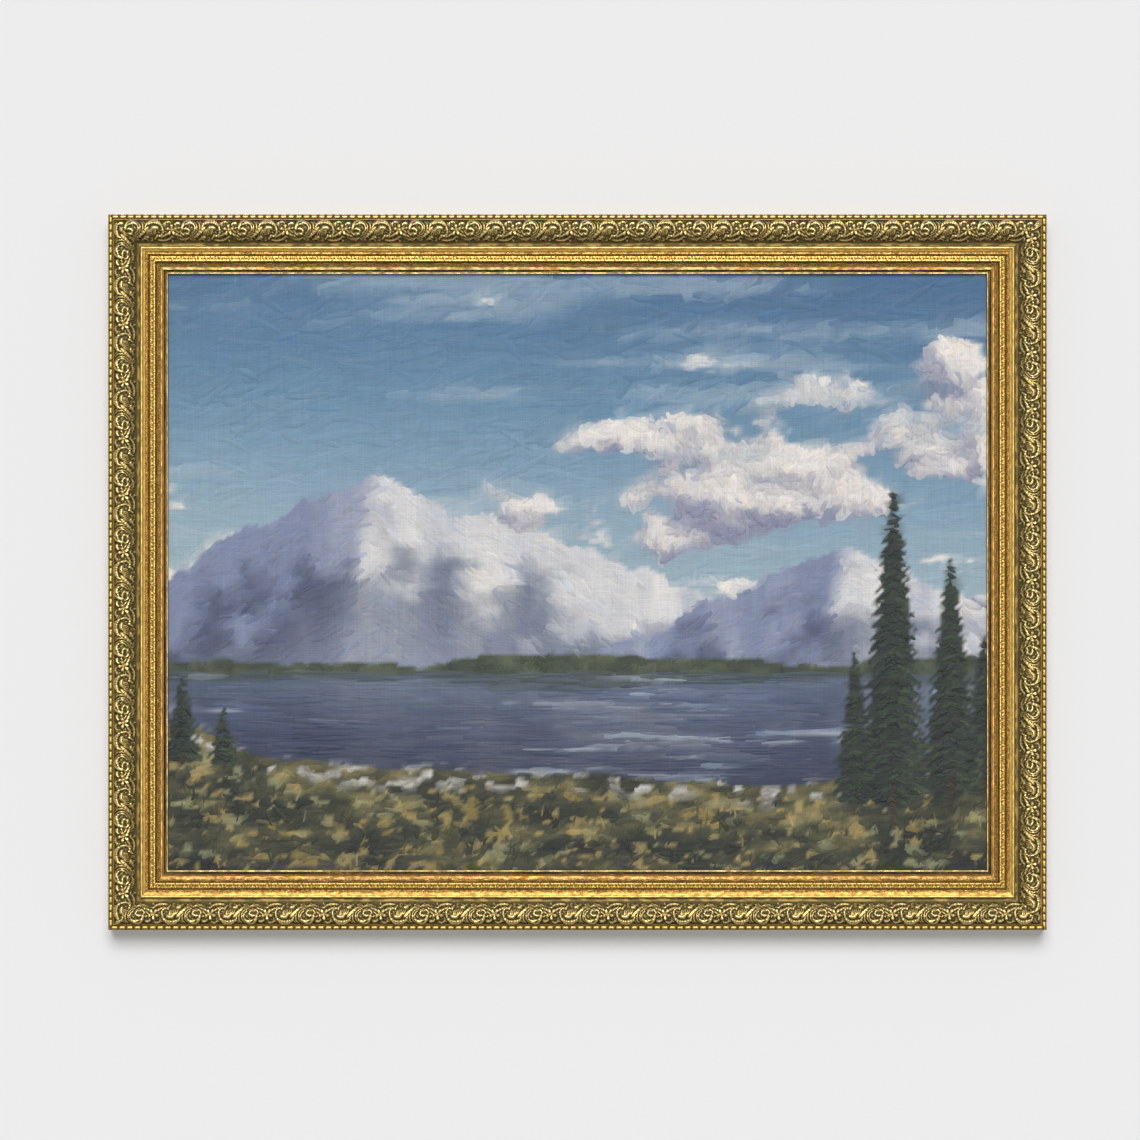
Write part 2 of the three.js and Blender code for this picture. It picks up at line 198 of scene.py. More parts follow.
def coordinates(piece):
    points = np.empty(3 * len(piece.data.vertices), np.float32)
    piece.data.vertices.foreach_get("co", points)
    return points.reshape(-1, 3).astype(float)


def set_coordinates(piece, points):
    piece.data.vertices.foreach_set("co", points.astype(np.float32).ravel())
    piece.data.update()


def set_attribute(piece, name, values):
    """Stores one number for each vertex, for a material to read."""
    layer = piece.data.attributes.get(name) or piece.data.attributes.new(name, "FLOAT", "POINT")
    layer.data.foreach_set("value", np.asarray(values, np.float32))


def set_vector(piece, name, values):
    """Stores a vector for each vertex."""
    layer = piece.data.attributes.new(name, "FLOAT_VECTOR", "POINT")
    layer.data.foreach_set("vector", np.asarray(values, np.float32).ravel())


def set_colour(piece, values):
    """Stores an sRGB colour for each vertex, as linear values."""
    values = np.asarray(values, float)
    values = np.where(values <= 0.04045, values / 12.92, ((values + 0.055) / 1.055) ** 2.4)
    layer = piece.data.attributes.new("paint", "FLOAT_COLOR", "POINT")
    opaque = np.concatenate([values, np.ones((len(values), 1))], 1)
    layer.data.foreach_set("color", opaque.astype(np.float32).ravel())


def apply_modifier(piece, kind, **settings):
    bpy.context.view_layer.objects.active = piece
    modifier = piece.modifiers.new(kind.lower(), kind)
    for key, value in settings.items():
        setattr(modifier, key, value)
    bpy.ops.object.modifier_apply(modifier=modifier.name)


def mitre(piece, length, edge):
    """Cuts both ends of a rail at 45 degrees and closes them."""
    with editing(piece):
        for end in (-1, 1):
            bpy.ops.mesh.bisect(
                plane_co=(end * (length - MITRE_GAP * MM) / 2, 0, edge), plane_no=(end, 0, -1),
                use_fill=True, clear_outer=True, threshold=1e-7,
            )
            bpy.ops.mesh.select_all(action="SELECT")
        bpy.ops.mesh.normals_make_consistent(inside=False)


def section_bar(name, section, length, edge):
    """A mitred bar of a closed section: its end face, pushed out to the rail's length and cut."""
    bar = start(bpy.ops.mesh.primitive_circle_add, name, vertices=len(section), fill_type="NGON")
    set_coordinates(bar, np.array([(-length / 2, -h * MM, edge - u * MM) for u, h in section]))
    with editing(bar):
        bpy.ops.mesh.extrude_region_move(TRANSFORM_OT_translate={"value": (length, 0, 0)})
    mitre(bar, length, edge)
    bpy.ops.object.shade_smooth_by_angle(angle=math.radians(32))
    return bar


def carved_strip(name, section, unit, side, shift):
    """A strip of repeated relief over a section's curve, closed underneath and mitred.

    unit holds the repeat in mm, its columns and rows, and its height field with that field's raster; shift is
    where the unit's own origin first lies, in mm from the rail's left corner.
    """
    _, length, edge = SIDES[side]
    columns, rows, repeat, fields = unit["columns"], unit["rows"], unit["repeat"], unit["fields"]
    strip = start(bpy.ops.mesh.primitive_grid_add, name, x_subdivisions=columns, y_subdivisions=rows, size=1)
    flat = coordinates(strip)
    along, inward = flat[:, 0] + 0.5, 0.5 - flat[:, 1]
    curve = smooth(section, 0.15)
    run = np.concatenate([[0], np.cumsum(np.linalg.norm(np.diff(curve, axis=0), axis=1))])
    at = inward * run[-1]
    u, h = np.interp(at, run, curve[:, 0]), np.interp(at, run, curve[:, 1])
    step = 0.2  # mm along the curve, for its slope
    du = np.interp(at + step, run, curve[:, 0]) - np.interp(at - step, run, curve[:, 0])
    dh = np.interp(at + step, run, curve[:, 1]) - np.interp(at - step, run, curve[:, 1])
    size = np.hypot(du, dh)
    rise = sample(fields["height"], along * repeat, u, unit)
    rim = np.minimum(inward, 1 - inward) * run[-1]
    rise = rise * np.clip(rim / 0.5, 0, 1)  # the relief dies away in the last half millimetre
    start_x = -length / 2 + (shift - unit["origin"] - 2 * repeat) * MM
    set_coordinates(strip, np.stack([
        start_x + along * repeat * MM, -(h + rise * du / size) * MM, edge - (u - rise * dh / size) * MM], 1))
    for label, field in fields.items():
        set_attribute(strip, label, sample(field, along * repeat, u, unit))
    with editing(strip, "DESELECT"):
        # The two long edges are bridged by a flat underside; the ends stay open, to be joined and cut.
        shell = bmesh.from_edit_mesh(strip.data)
        for rim_edge in shell.edges:
            ends = [inward[v.index] for v in rim_edge.verts]
            if rim_edge.is_boundary and abs(ends[0] - ends[1]) < 0.5 / rows:
                rim_edge.select_set(True)
        bmesh.update_edit_mesh(strip.data)
        bpy.ops.mesh.bridge_edge_loops()
    apply_modifier(
        strip, "ARRAY", count=math.ceil(length / MM / repeat) + 4, use_relative_offset=False,
        use_constant_offset=True, constant_offset_displace=(repeat * MM, 0, 0),
        use_merge_vertices=True, merge_threshold=1e-6,
    )
    mitre(strip, length, edge)
    return strip


def sample(field, x, u, unit):
    """Reads a periodic field at x along and u across, both in mm."""
    columns, rows = field.shape
    i = x / unit["repeat"] * columns % columns
    j = np.clip((u - unit["from"]) / unit["cell"], 0, rows - 1.001)
    i0, j0 = i.astype(int) % columns, j.astype(int)
    fi, fj = i - np.floor(i), j - j0
    i1, j1 = (i0 + 1) % columns, j0 + 1
    return ((1 - fi) * (1 - fj) * field[i0, j0] + fi * (1 - fj) * field[i1, j0]
            + (1 - fi) * fj * field[i0, j1] + fi * fj * field[i1, j1])


# The carved motifs -----------------------------------------------------------------------------------------


class Carving:
    """A raised field over one repeat, worked by strokes given in millimetres."""

    def __init__(self, repeat, low, high, cell):
        self.repeat, self.low, self.cell = repeat, low, cell
        self.columns, self.rows = round(repeat / cell), math.ceil((high - low) / cell) + 1
        self.height = np.zeros((self.columns, self.rows))

    def window(self, x, u, reach):
        """The cells within reach of a point, with how far each is from it."""
        pitch = self.repeat / self.columns
        i = np.arange(math.floor((x - reach) / pitch), math.ceil((x + reach) / pitch) + 1)
        low = max(0, math.floor((u - reach - self.low) / self.cell))
        high = min(self.rows, math.ceil((u + reach - self.low) / self.cell) + 1)
        j = np.arange(low, max(high, low))
        far = np.hypot((i * pitch - x)[:, None], (j * self.cell + self.low - u)[None, :])
        return np.ix_(i % self.columns, j), far

    def raise_stroke(self, points, lobes=0.0):
        """A rounded stroke through (x, u, half width, height); it lies over what is lower.

        lobes is the length of one lobe where the stroke is a leaf, whose edge and crest go in and out.
        """
        line = smooth(points, 0.25)
        gone = np.concatenate([[0], np.cumsum(np.hypot(*np.diff(line[:, :2], axis=0).T))])
        for (x, u, width, height), at in zip(line, gone):
            if lobes:
                wave = math.cos(2 * math.pi * at / lobes)
                width, height = width * (1 + 0.24 * wave), height * (1 + 0.14 * wave)
            width = max(width, 0.1)
            cells, far = self.window(x, u, width)
            body = height * np.clip(1 - (far / width) ** 3, 0, 1) ** 0.6
            self.height[cells] = np.maximum(self.height[cells], body)

    def fill_gaps(self, rng, count, low, high):
        """Small curls and leaf tips where the ground between the forms is still bare."""
        for _ in range(count):
            x, u = rng.uniform(0, self.repeat), rng.uniform(low, high)
            i = int(x / self.repeat * self.columns) % self.columns
            j = min(self.rows - 1, int((u - self.low) / self.cell))
            if self.height[i, j] > 0.3:  # mm: a form is there already
                continue
            turn, curl, long = rng.uniform(0, 2 * math.pi), rng.uniform(-1.6, 1.6), rng.uniform(1.6, 3.4)
            wide, tall = rng.uniform(0.34, 0.6), rng.uniform(0.5, 1.15)
            points = []
            for k in range(4):
                points.append((x, u, wide * (1 - 0.2 * k), tall * (1 - 0.15 * k)))
                x, u = x + long / 3 * math.cos(turn), u + long / 3 * math.sin(turn)
                turn += curl / 2
            self.raise_stroke(points)

    def roughen(self, rng, depth):
        """Chips, pits and tool marks, stronger on the forms than on the ground."""
        for spread, share in ((2, 0.6), (1, 0.4)):
            marks = blurred(rng.normal(size=self.height.shape), spread)
            marks /= marks.std()
            self.height += depth * share * marks * (0.35 + 0.65 * np.clip(self.height, 0, 1))

    def groove(self, points):
        """A cut through (x, u, half width, depth)."""
        cut = np.zeros_like(self.height)
        for x, u, width, depth in smooth(points, 0.25):
            cells, far = self.window(x, u, 2 * width)
            cut[cells] = np.maximum(cut[cells], depth * np.exp(-((far / width) ** 2)))
        self.height = np.maximum(self.height - cut, np.minimum(self.height, 0.05))

    def ring(self, centre, radii, angles, widths, heights):
        """A stroke along part of an ellipse, angles in degrees from +x towards the sight edge."""
        at = np.linspace(0, 1, 13)
        turns = np.radians(np.linspace(angles[0], angles[1], len(at)))
        widths, heights = (np.interp(at, np.linspace(0, 1, len(v)), v) for v in (widths, heights))
        self.raise_stroke([
            (centre[0] + radii[0] * math.cos(a), centre[1] + radii[1] * math.sin(a), w, h)
            for a, w, h in zip(turns, widths, heights)
        ])

    def finished(self):
        """Height, and how far each place stands above or below what lies round it, from 0 to 1."""
        height = blurred(self.height, 1)
        nearby = 1.1  # mm: how far round a place it is compared, and the difference that counts as whole
        around = blurred(height, round(nearby / self.cell))
        return {"height": height, "ridge": np.clip(0.5 + (height - around) / nearby, 0, 1)}

    def unit(self, columns, rows, origin):
        return {"columns": columns, "rows": rows, "repeat": self.repeat, "fields": self.finished(),
                "cell": self.cell, "from": self.low, "origin": origin}


def blurred(field, cells):
    """Box blur twice, wrapping along the repeat."""
    for _ in range(2):
        field = sum(np.roll(field, k, 0) for k in range(-cells, cells + 1)) / (2 * cells + 1)
        padded = np.pad(field, ((0, 0), (cells, cells)), mode="edge")
        field = sum(padded[:, k : k + field.shape[1]] for k in range(2 * cells + 1)) / (2 * cells + 1)
    return field


VOLUTE = (13.6, 12.4)  # centre of the volute in the repeat
BEAD_MESH, LEAF_MESH = (12, 7), (56, 8)  # mesh columns and rows in one repeat


def scroll_carving(repeat):
    """One repeat of the running acanthus: volute, branch with its shell leaf, flower and tendrils."""
    carving = Carving(repeat, SWELL[0][0] - 0.5, SWELL[-1][0] + 0.5, 0.2)
    x, u = VOLUTE

    def leaf(*points, lobes=1.7):
        carving.raise_stroke([(x + px, u + pu, wide, tall) for px, pu, wide, tall in points], lobes)

    def vein(*points):
        carving.groove([(x + px, u + pu, wide, deep) for px, pu, wide, deep in points])

    # Long low stems first, so that the fuller forms lie over them.
    leaf((2.2, 8.8, 0.4, 0.5), (6.4, 5.9, 0.9, 1.2), (10.4, 2.6, 1.3, 1.7), (13.6, -0.6, 1.2, 1.7))
    vein((4, 7.4, 0.25, 0.3), (8.4, 4.2, 0.3, 0.6), (12, 1, 0.3, 0.5))
    leaf((21, 9.1, 0.5, 0.6), (25.4, 9.6, 0.8, 1), (30, 8.8, 0.7, 1), (33, 6.8, 0.5, 0.9), lobes=1.3)
    leaf((35, 2.6, 0.9, 1.4), (37.4, 5, 0.8, 1.4), (41.4, 6.2, 0.5, 0.9))
    leaf((35.6, 1.2, 0.6, 1.1), (38.6, 2.8, 0.6, 1.2), (40.2, 4.4, 0.3, 0.7), lobes=1.2)
    leaf((26.8, -4, 0.5, 0.8), (29.8, -5.2, 0.7, 1.2), (33, -4.2, 0.4, 0.8), lobes=1.2)
    leaf((35.8, -2.8, 0.5, 0.8), (38, -4.4, 0.8, 1.3), (40.4, -4, 0.4, 0.7), lobes=1.2)
    leaf((19.4, 8.2, 0.9, 1.2), (20.6, 6.6, 0.7, 1.1), (22, 7.2, 0.5, 0.8), lobes=0)
    leaf((8.4, 8.6, 0.4, 0.6), (11, 8, 0.7, 1), (13.2, 6.8, 0.8, 1.1), (14.6, 8, 0.4, 0.7), lobes=1.1)
    leaf((-8.6, 7.6, 0.4, 0.6), (-5.6, 8.8, 0.6, 0.9), (-2, 8.4, 0.6, 0.9), (0.6, 7.2, 0.4, 0.7), lobes=1.2)

    # Volute: a full crescent that thins round to its inner leaf, and a thin rim outside it.
    carving.ring((x, u), (7.1, 6.1), (285, 445), (0.4, 0.6, 0.5, 0.3), (0.9, 1.4, 1.2, 0.7))
    carving.ring((x - 0.2, u), (7.3, 6.2), (165, 95), (0.4, 0.6, 0.4), (0.8, 1.1, 0.7))
    carving.ring((x, u), (5.3, 4.5), (172, 420), (1.1, 1.7, 1.9, 1.3, 0.8, 0.7, 0.5),
                 (1.5, 2.2, 2.3, 1.9, 1.5, 1.3, 0.9))
    leaf((-5.7, -0.2, 1.3, 1.9), (-5.2, 0.2, 1.3, 1.9), lobes=0)
    leaf((-4.4, 0.4, 0.8, 1.2), (-1.6, 0.4, 0.9, 1.5), (0.6, 1.8, 0.9, 1.5), (-0.4, 4.2, 0.8, 1.3), lobes=1.4)
    leaf((-3.2, 4, 0.4, 0.8), (-1, 4.4, 0.9, 1.6), (0.6, 4.9, 0.5, 1.1), lobes=0)
    for k in range(6):
        turn = math.radians(200 + 26 * k)
        vein((4.4 * math.cos(turn), 3.8 * math.sin(turn), 0.22, 0.5),
             (6.1 * math.cos(turn + 0.16), 5.3 * math.sin(turn + 0.16), 0.22, 0.3))
    vein((-3.2, -3.2, 0.5, 0.9), (-1.6, -4.2, 0.6, 1.5), (-0.2, -4.4, 0.4, 0.7))

    # Branch arching over the shell leaf, with a double stem behind it.
    leaf((6.8, -5.4, 0.4, 0.8), (9, -3.2, 0.7, 1.5), (9.2, 0.2, 0.7, 1.4), (7.6, 3, 0.4, 0.8), lobes=0)
    leaf((9, -5.6, 0.4, 0.8), (11, -3.4, 0.6, 1.4), (11.2, -1, 0.5, 1), lobes=0)
    leaf((10.4, 0.4, 0.7, 1.4), (12.8, -3.2, 1.1, 1.9), (17.8, -4.9, 1.35, 2.1), (22.6, -3.8, 1.25, 2),
         (25.5, -0.2, 1.0, 1.8), (26, 3.6, 0.9, 1.6), (23.8, 6, 0.8, 1.4), (20.8, 5.6, 0.6, 1), lobes=2.1)
    vein((13.4, -3.4, 0.3, 0.5), (17.8, -4.7, 0.35, 0.9), (22.4, -3.6, 0.35, 0.8), (25, -0.2, 0.3, 0.5))
    for k in range(4):
        leaf((14.6 + 2 * k, -4.6, 0.7, 1.9), (15.6 + 2 * k, -6.2 + 0.18 * k, 0.45, 1.3), lobes=0)
    leaf((15.2, 1.8, 0.8, 1.4), (17.6, 0.2, 1.8, 2.1), (20.4, -0.2, 1.6, 2.1), (22.4, 0.4, 0.7, 1.3))
    vein((16.4, 1.5, 0.3, 0.6), (19, 0.7, 0.4, 1), (21.4, 0.6, 0.3, 0.6))
    vein((17, -0.8, 0.22, 0.5), (19, -1.2, 0.25, 0.7), (21, -0.8, 0.22, 0.4))
    for k in range(5):
        leaf((14.2 + 1.5 * k, 1.6 - 0.15 * k, 0.7, 1.7), (13 + 1.6 * k, 3.8, 0.62, 1.5),
             (12.4 + 1.6 * k, 5.8 - 0.2 * k, 0.4, 0.9), lobes=0)

    # Flower of five petals, with the comb of small leaves towards the volute's far side.
    flower = (33.2, 1.4)
    for k in range(5):
        way = (math.cos(math.radians(72 * k - 90)), math.sin(math.radians(72 * k - 90)))
        near, far = ((flower[0] + r * way[0], flower[1] + r * way[1]) for r in (2.1, 3.2))
        leaf((*near, 1.15, 1.7), (*far, 1.5, 2.1), lobes=0)
        vein((*near, 0.3, 0.8), (*far, 0.3, 0.5))
    carving.ring((x + flower[0], u + flower[1]), (1.3, 1.3), (0, 360), (0.4, 0.4), (1.2, 1.2))
    leaf((*flower, 0.9, 1.8), (flower[0] + 0.1, flower[1], 0.9, 1.8), lobes=0)
    for k in range(4):
        leaf((31.2 - 0.9 * k, 3.2 + 0.5 * k, 0.7, 1.4), (29 - 1.1 * k, 5 + 0.5 * k, 0.6, 1.2),
             (27.2 - 1.1 * k, 5.6 + 0.6 * k, 0.3, 0.7), lobes=0)
    rng = np.random.default_rng(3)
    carving.fill_gaps(rng, 300, SWELL[0][0] + 0.8, SWELL[-1][0] - 1.4)
    carving.roughen(rng, 0.2)
    return carving


def bead_carving(repeat):
    """A long bead, with a hollow between it and the next, beside a plain rim."""
    carving = Carving(repeat, -0.5, 5, 0.1)
    middle = repeat / 2
    carving.raise_stroke([(0, 0.8, 0.45, 0.35), (repeat, 0.8, 0.45, 0.35)])
    carving.raise_stroke([(middle - 1.4, 2.4, 1.3, 0.95), (middle + 1.4, 2.4, 1.3, 0.95)])
    return carving


def leaf_carving(repeat):
    """Two low ridges of small leaf tips, nicked and crumpled unevenly."""
    carving = Carving(repeat, 34, 40.6, 0.1)
    rng = np.random.default_rng(5)
    carving.raise_stroke([(0, 36, 0.6, 0.35), (repeat, 36, 0.6, 0.35)])
    carving.raise_stroke([(0, 39, 0.7, 0.4), (repeat, 39, 0.7, 0.4)])
    for u, gap, wide in ((36, 1.7, 0.5), (38.9, 1.5, 0.55), (37.4, 2.9, 0.35)):
        for at in np.arange(0, repeat - gap / 2, gap):
            x, lean, long = at + rng.uniform(-0.5, 0.5), rng.uniform(-0.9, 0.9), rng.uniform(0.4, 0.9)
            carving.raise_stroke([
                (x - lean * 0.6, u - long, 0.3, 0.4),
                (x, u, wide, rng.uniform(0.5, 0.95)),
                (x + lean * 0.6, u + long, 0.3, 0.4),
            ])
    for _ in range(int(repeat / 1.4)):
        x, u, lean = rng.uniform(0, repeat), rng.uniform(35.2, 39.6), rng.uniform(-1.6, 1.6)
        carving.groove([(x, u, 0.32, 0.8), (x + lean, u + rng.uniform(-0.7, 0.7), 0.26, 0.6)])
    carving.roughen(rng, 0.16)
    return carving


# The painting ----------------------------------------------------------------------------------------------

LINEN_SIZE = ((CANVAS_HIGH.x - CANVAS_LOW.x) / MM, (CANVAS_HIGH.z - CANVAS_LOW.z) / MM)
CELL = 1.0  # raster cell in mm
SHORE = -84.0  # the far shore, mm above the picture's middle
NEAR_PEAK, RIGHT_PEAK = -168, 226  # mm to the right of the middle
ONE_LINE = 9000  # a pattern this tall in mm is the same all the way up, so it draws a skyline
# Firs, as (trunk, top, spread, foot) in mm from the picture's middle.
FIRS = [(340, -52, 46, -186), (232, -66, 42, -196), (312, 12, 58, -190), (264, 74, 70, -200),
        (-330, -86, 40, -160), (-296, -112, 30, -164)]
# What a place on the view shows.
SKY, CLOUD, FAR, ROCK, WOODS, WATER, TURF, STONE, PINE = range(9)


def srgb(text):
    """An sRGB hex colour as three numbers from 0 to 1."""
    return np.array([int(text[i : i + 2], 16) / 255 for i in (1, 3, 5)])


def blend_by(value, stops):
    """Colours by a number, from (number, hex) stops."""
    at = [stop[0] for stop in stops]
    colours = np.array([srgb(stop[1]) for stop in stops])
    return np.stack([np.interp(value, at, colours[:, k]) for k in range(3)], -1)


def ease(low, high, value):
    """Smooth step from 0 at low to 1 at high."""
    t = np.clip((value - low) / (high - low), 0, 1)
    return t * t * (3 - 2 * t)


class View:
    """The painted view, an upland lake under broken cloud: its colours, and where each thing is."""

    def __init__(self, seed):
        self.rng = np.random.default_rng(seed)
        columns, rows = (round(size / CELL) for size in LINEN_SIZE)
        self.shape = (columns, rows)
        self.x = ((np.arange(columns) + 0.5) * CELL - LINEN_SIZE[0] / 2)[:, None] * np.ones((1, rows))
        self.z = ((np.arange(rows) + 0.5) * CELL - LINEN_SIZE[1] / 2)[None, :] * np.ones((columns, 1))
        self.colour = self.sky()
        self.where = np.zeros(self.shape, int)
        self.clouds()
        self.far_range()
        self.massif(NEAR_PEAK, 84, (0.62, 0.5))
        self.massif(RIGHT_PEAK, 22, (0.5, 0.62))
        self.far_shore()
        self.lake()
        self.bank()
        self.pines()

    def patchy(self, wide, tall, octaves=4, gain=0.5):
        """Soft noise from about 0 to 1, its largest patches wide by tall mm."""
        total, weight = np.zeros(self.shape), 0
        for octave in range(octaves):
            share = gain**octave
            fx = (self.x[:, 0] + LINEN_SIZE[0] / 2) / wide * 2**octave
            fz = (self.z[0] + LINEN_SIZE[1] / 2) / tall * 2**octave
            knots = self.rng.random((int(fx[-1]) + 2, int(fz[-1]) + 2))
            i, j = fx.astype(int), fz.astype(int)
            tx, tz = ease(0, 1, fx - i)[:, None], ease(0, 1, fz - j)[None, :]
            low = knots[np.ix_(i, j)] * (1 - tx) + knots[np.ix_(i + 1, j)] * tx
            high = knots[np.ix_(i, j + 1)] * (1 - tx) + knots[np.ix_(i + 1, j + 1)] * tx
            total += share * (low * (1 - tz) + high * tz)
            weight += share
        return total / weight

    def cell(self, x, z):
        """Raster indices of places on the linen."""
        i = np.clip(((x + LINEN_SIZE[0] / 2) / CELL).astype(int), 0, self.shape[0] - 1)
        j = np.clip(((z + LINEN_SIZE[1] / 2) / CELL).astype(int), 0, self.shape[1] - 1)
        return i, j

    def lay(self, mask, colour, kind=None):
        """Lays a colour over the view by a mask from 0 to 1."""
        mask = np.asarray(mask, float)
        self.colour = self.colour * (1 - mask[..., None]) + colour * mask[..., None]
        if kind is not None:
            self.where[mask > 0.5] = kind

    def sky(self):
        height = self.z + 26 * (self.patchy(260, 90, 3) - 0.5) + 0.05 * self.x
        return blend_by(height, [(-90, "#a6b6b6"), (-20, "#98acb4"), (60, "#7f9aad"), (140, "#5f829d"),
                                 (250, "#44678a")])

    def clouds(self):
        """A bank of broken cloud that climbs to the right, streaks over it and puffs on the far range."""
        lie = self.z - (46 + 0.26 * self.x)
        heap = self.patchy(120, 62, 6, 0.56)
        bank = heap + 0.34 * np.exp(-((lie / 62) ** 2)) - 0.72
        low = self.patchy(90, 24, 5, 0.55) + 0.30 * np.exp(-(((self.z + 30) / 26) ** 2)) - 0.74
        thick = np.maximum(bank, low)
        light = np.roll(thick, (-9, -13), (0, 1)) - thick
        shade = 0.5 - 5.2 * light + 0.2 * (self.patchy(40, 20, 3) - 0.5)
        colour = blend_by(shade, [(0.0, "#83859c"), (0.3, "#9c9cab"), (0.5, "#b4b2b6"), (0.75, "#cbc7c5"),
                                  (1.0, "#ddd7d2")])
        self.lay(ease(0.0, 0.075, thick), colour, CLOUD)
        streaks = self.patchy(240, 13, 4) + 0.2 * ease(90, 200, self.z + 0.2 * self.x)
        self.lay(0.5 * ease(0.66, 0.86, streaks), srgb("#b3bcc2"))

    def far_range(self):
        ridge = -38 + 34 * (self.patchy(120, ONE_LINE, 5)[:, :1] - 0.4) + 0.02 * self.x
        snow = ease(0.42, 0.62, self.patchy(30, 16, 4) + 0.006 * (self.z - ridge + 14))
        colour = blend_by(snow, [(0, "#7f87a0"), (0.6, "#9a9fb0"), (1, "#c3c3c6")])
        self.lay(ease(1.5, -1.5, self.z - ridge), colour, FAR)

    def massif(self, peak_x, peak_z, slopes):
        """One mountain, lit from the right: snow on its lit side, slate in its shaded gullies.

        slopes are its falls to the left and the right.
        """
        away = self.x - peak_x
        slope = np.where(away < 0, slopes[0], slopes[1])
        jag = self.patchy(46, ONE_LINE, 5, 0.6)[:, :1]
        ridge = peak_z - slope * np.abs(away) ** 0.96 + 46 * (jag - 0.5) * ease(0, 60, np.abs(away))
        down = ridge - self.z
        gully = self.patchy(26, 120, 4, 0.6)
        side = away + 34 * (self.patchy(60, 40, 4) - 0.5) + 0.25 * down
        light = ease(-12, 16, side) * 0.55 + 0.75 * (gully - 0.28)
        snow = ease(0.0, 0.4, 0.62 - down / 150 + 0.9 * (self.patchy(34, 26, 4) - 0.5))
        rock = blend_by(light, [(0.1, "#434a62"), (0.45, "#5a6379"), (0.75, "#7a8090"), (1, "#96979c")])
        white = blend_by(light, [(0.1, "#77809c"), (0.4, "#9aa0b2"), (0.65, "#bfc0c4"), (0.95, "#dcd8d4")])
        colour = rock * (1 - snow[..., None]) + white * snow[..., None]
        haze = 0.6 * ease(60, 165, down)[..., None]
        self.lay(ease(-1, 1, down), colour * (1 - haze) + srgb("#8c93a6") * haze, ROCK)

    def far_shore(self):
        """Dark woods along the far shore."""
        top = SHORE + 8 + 22 * (self.patchy(70, ONE_LINE, 6, 0.62)[:, :1] - 0.42)
        colour = blend_by(self.patchy(16, 8, 3), [(0.2, "#2f3830"), (0.5, "#3b4436"), (0.8, "#565c48")])
        self.lay(ease(1.2, -1.2, self.z - top), colour, WOODS)

    def lake(self):
        """The water: the view above it turned over, darker and bluer, in level streaks."""
        depth = SHORE - self.z
        row = np.clip(((SHORE + 1.15 * depth + LINEN_SIZE[1] / 2) / CELL).astype(int), 0, self.shape[1] - 1)
        mirrored = np.take_along_axis(self.colour, row[..., None], 1)
        streak = self.patchy(110, 3.4, 4, 0.6)
        deep = blend_by(depth + 50 * (streak - 0.5), [(0, "#465468"), (40, "#303a52"), (90, "#222840")])
        share = (0.42 - 0.26 * ease(0, 90, depth) + 0.3 * (streak - 0.5))[..., None]
        water = mirrored * share + deep * (1 - share)
        glint = ease(0.69, 0.8, streak + 0.10 * np.exp(-(((self.x - 60) / 110) ** 2)))
        water = water * (1 - 0.7 * glint[..., None]) + srgb("#a9b2bd") * 0.7 * glint[..., None]
        self.lay(ease(-0.8, 0.8, depth), water, WATER)

    def bank(self):
        """The near bank: olive turf, brown earth and pale stones at the water's edge."""
        edge = -172 - 0.07 * self.x + 26 * (self.patchy(120, ONE_LINE, 5)[:, :1] - 0.5)
        edge = edge + 34 * ease(150, 300, self.x) + 16 * ease(-240, -330, self.x)
        under = edge - self.z
        turf = blend_by(self.patchy(34, 12, 4, 0.6) - 0.002 * under, [
            (0.15, "#1b201b"), (0.35, "#2c3024"), (0.5, "#43432f"), (0.62, "#66603e"), (0.8, "#9a8c5c")])
        self.lay(ease(-1, 1, under), turf, TURF)
        grass = ease(0.6, 0.68, self.patchy(7, 5, 2)) * (under > 10)
        tufts = blend_by(self.patchy(30, 20, 2), [(0.3, "#8d7a3e"), (0.5, "#b0975a"), (0.7, "#8f9068")])
        self.lay(0.75 * grass, tufts)
        stones = ease(0.56, 0.62, self.patchy(13, 6, 2)) * np.exp(-(((under - 7) / 10) ** 2))
        pale = blend_by(self.patchy(8, 5, 2), [(0.2, "#77756f"), (0.5, "#a8a49e"), (0.8, "#cfcbc4")])
        self.lay(stones, pale, STONE)

    def pines(self):
        """Firs on the near bank, a tall group at the right and a few small ones at the left."""
        for trunk, top, spread, foot in FIRS:
            drop = np.clip((top - self.z) / (top - foot), 0, 1.2)
            tier = (self.z - top + 0.45 * np.abs(self.x - trunk)) / 9.5 % 1
            reach = spread / 2 * (0.06 + drop**0.85) * (0.58 + 0.42 * (1 - tier))
            reach = reach * (0.8 + 0.4 * self.patchy(11, 7, 3)) * ease(1.02, 0.94, drop)
            leaves = ease(0.8, -0.8, np.abs(self.x - trunk) - reach) * (drop > 0) * (drop < 1)
            lit = 0.5 - 0.4 * tier + 0.3 * (self.x - trunk) / spread + 0.5 * (self.patchy(9, 6, 3) - 0.5)
            tone = blend_by(lit, [(0.0, "#171d1c"), (0.35, "#232d28"), (0.6, "#38432f"), (0.9, "#626442")])
            self.lay(leaves, tone, PINE)
            stem = (np.abs(self.x - trunk) < 1.4 + 1.2 * drop) * (drop > 0.9) * (drop < 1.05)
            self.lay(stem, srgb("#33291f"), PINE)


WARMER = np.array([0.5, 0.1, -0.6])  # a shift towards ochre; its negative goes towards slate


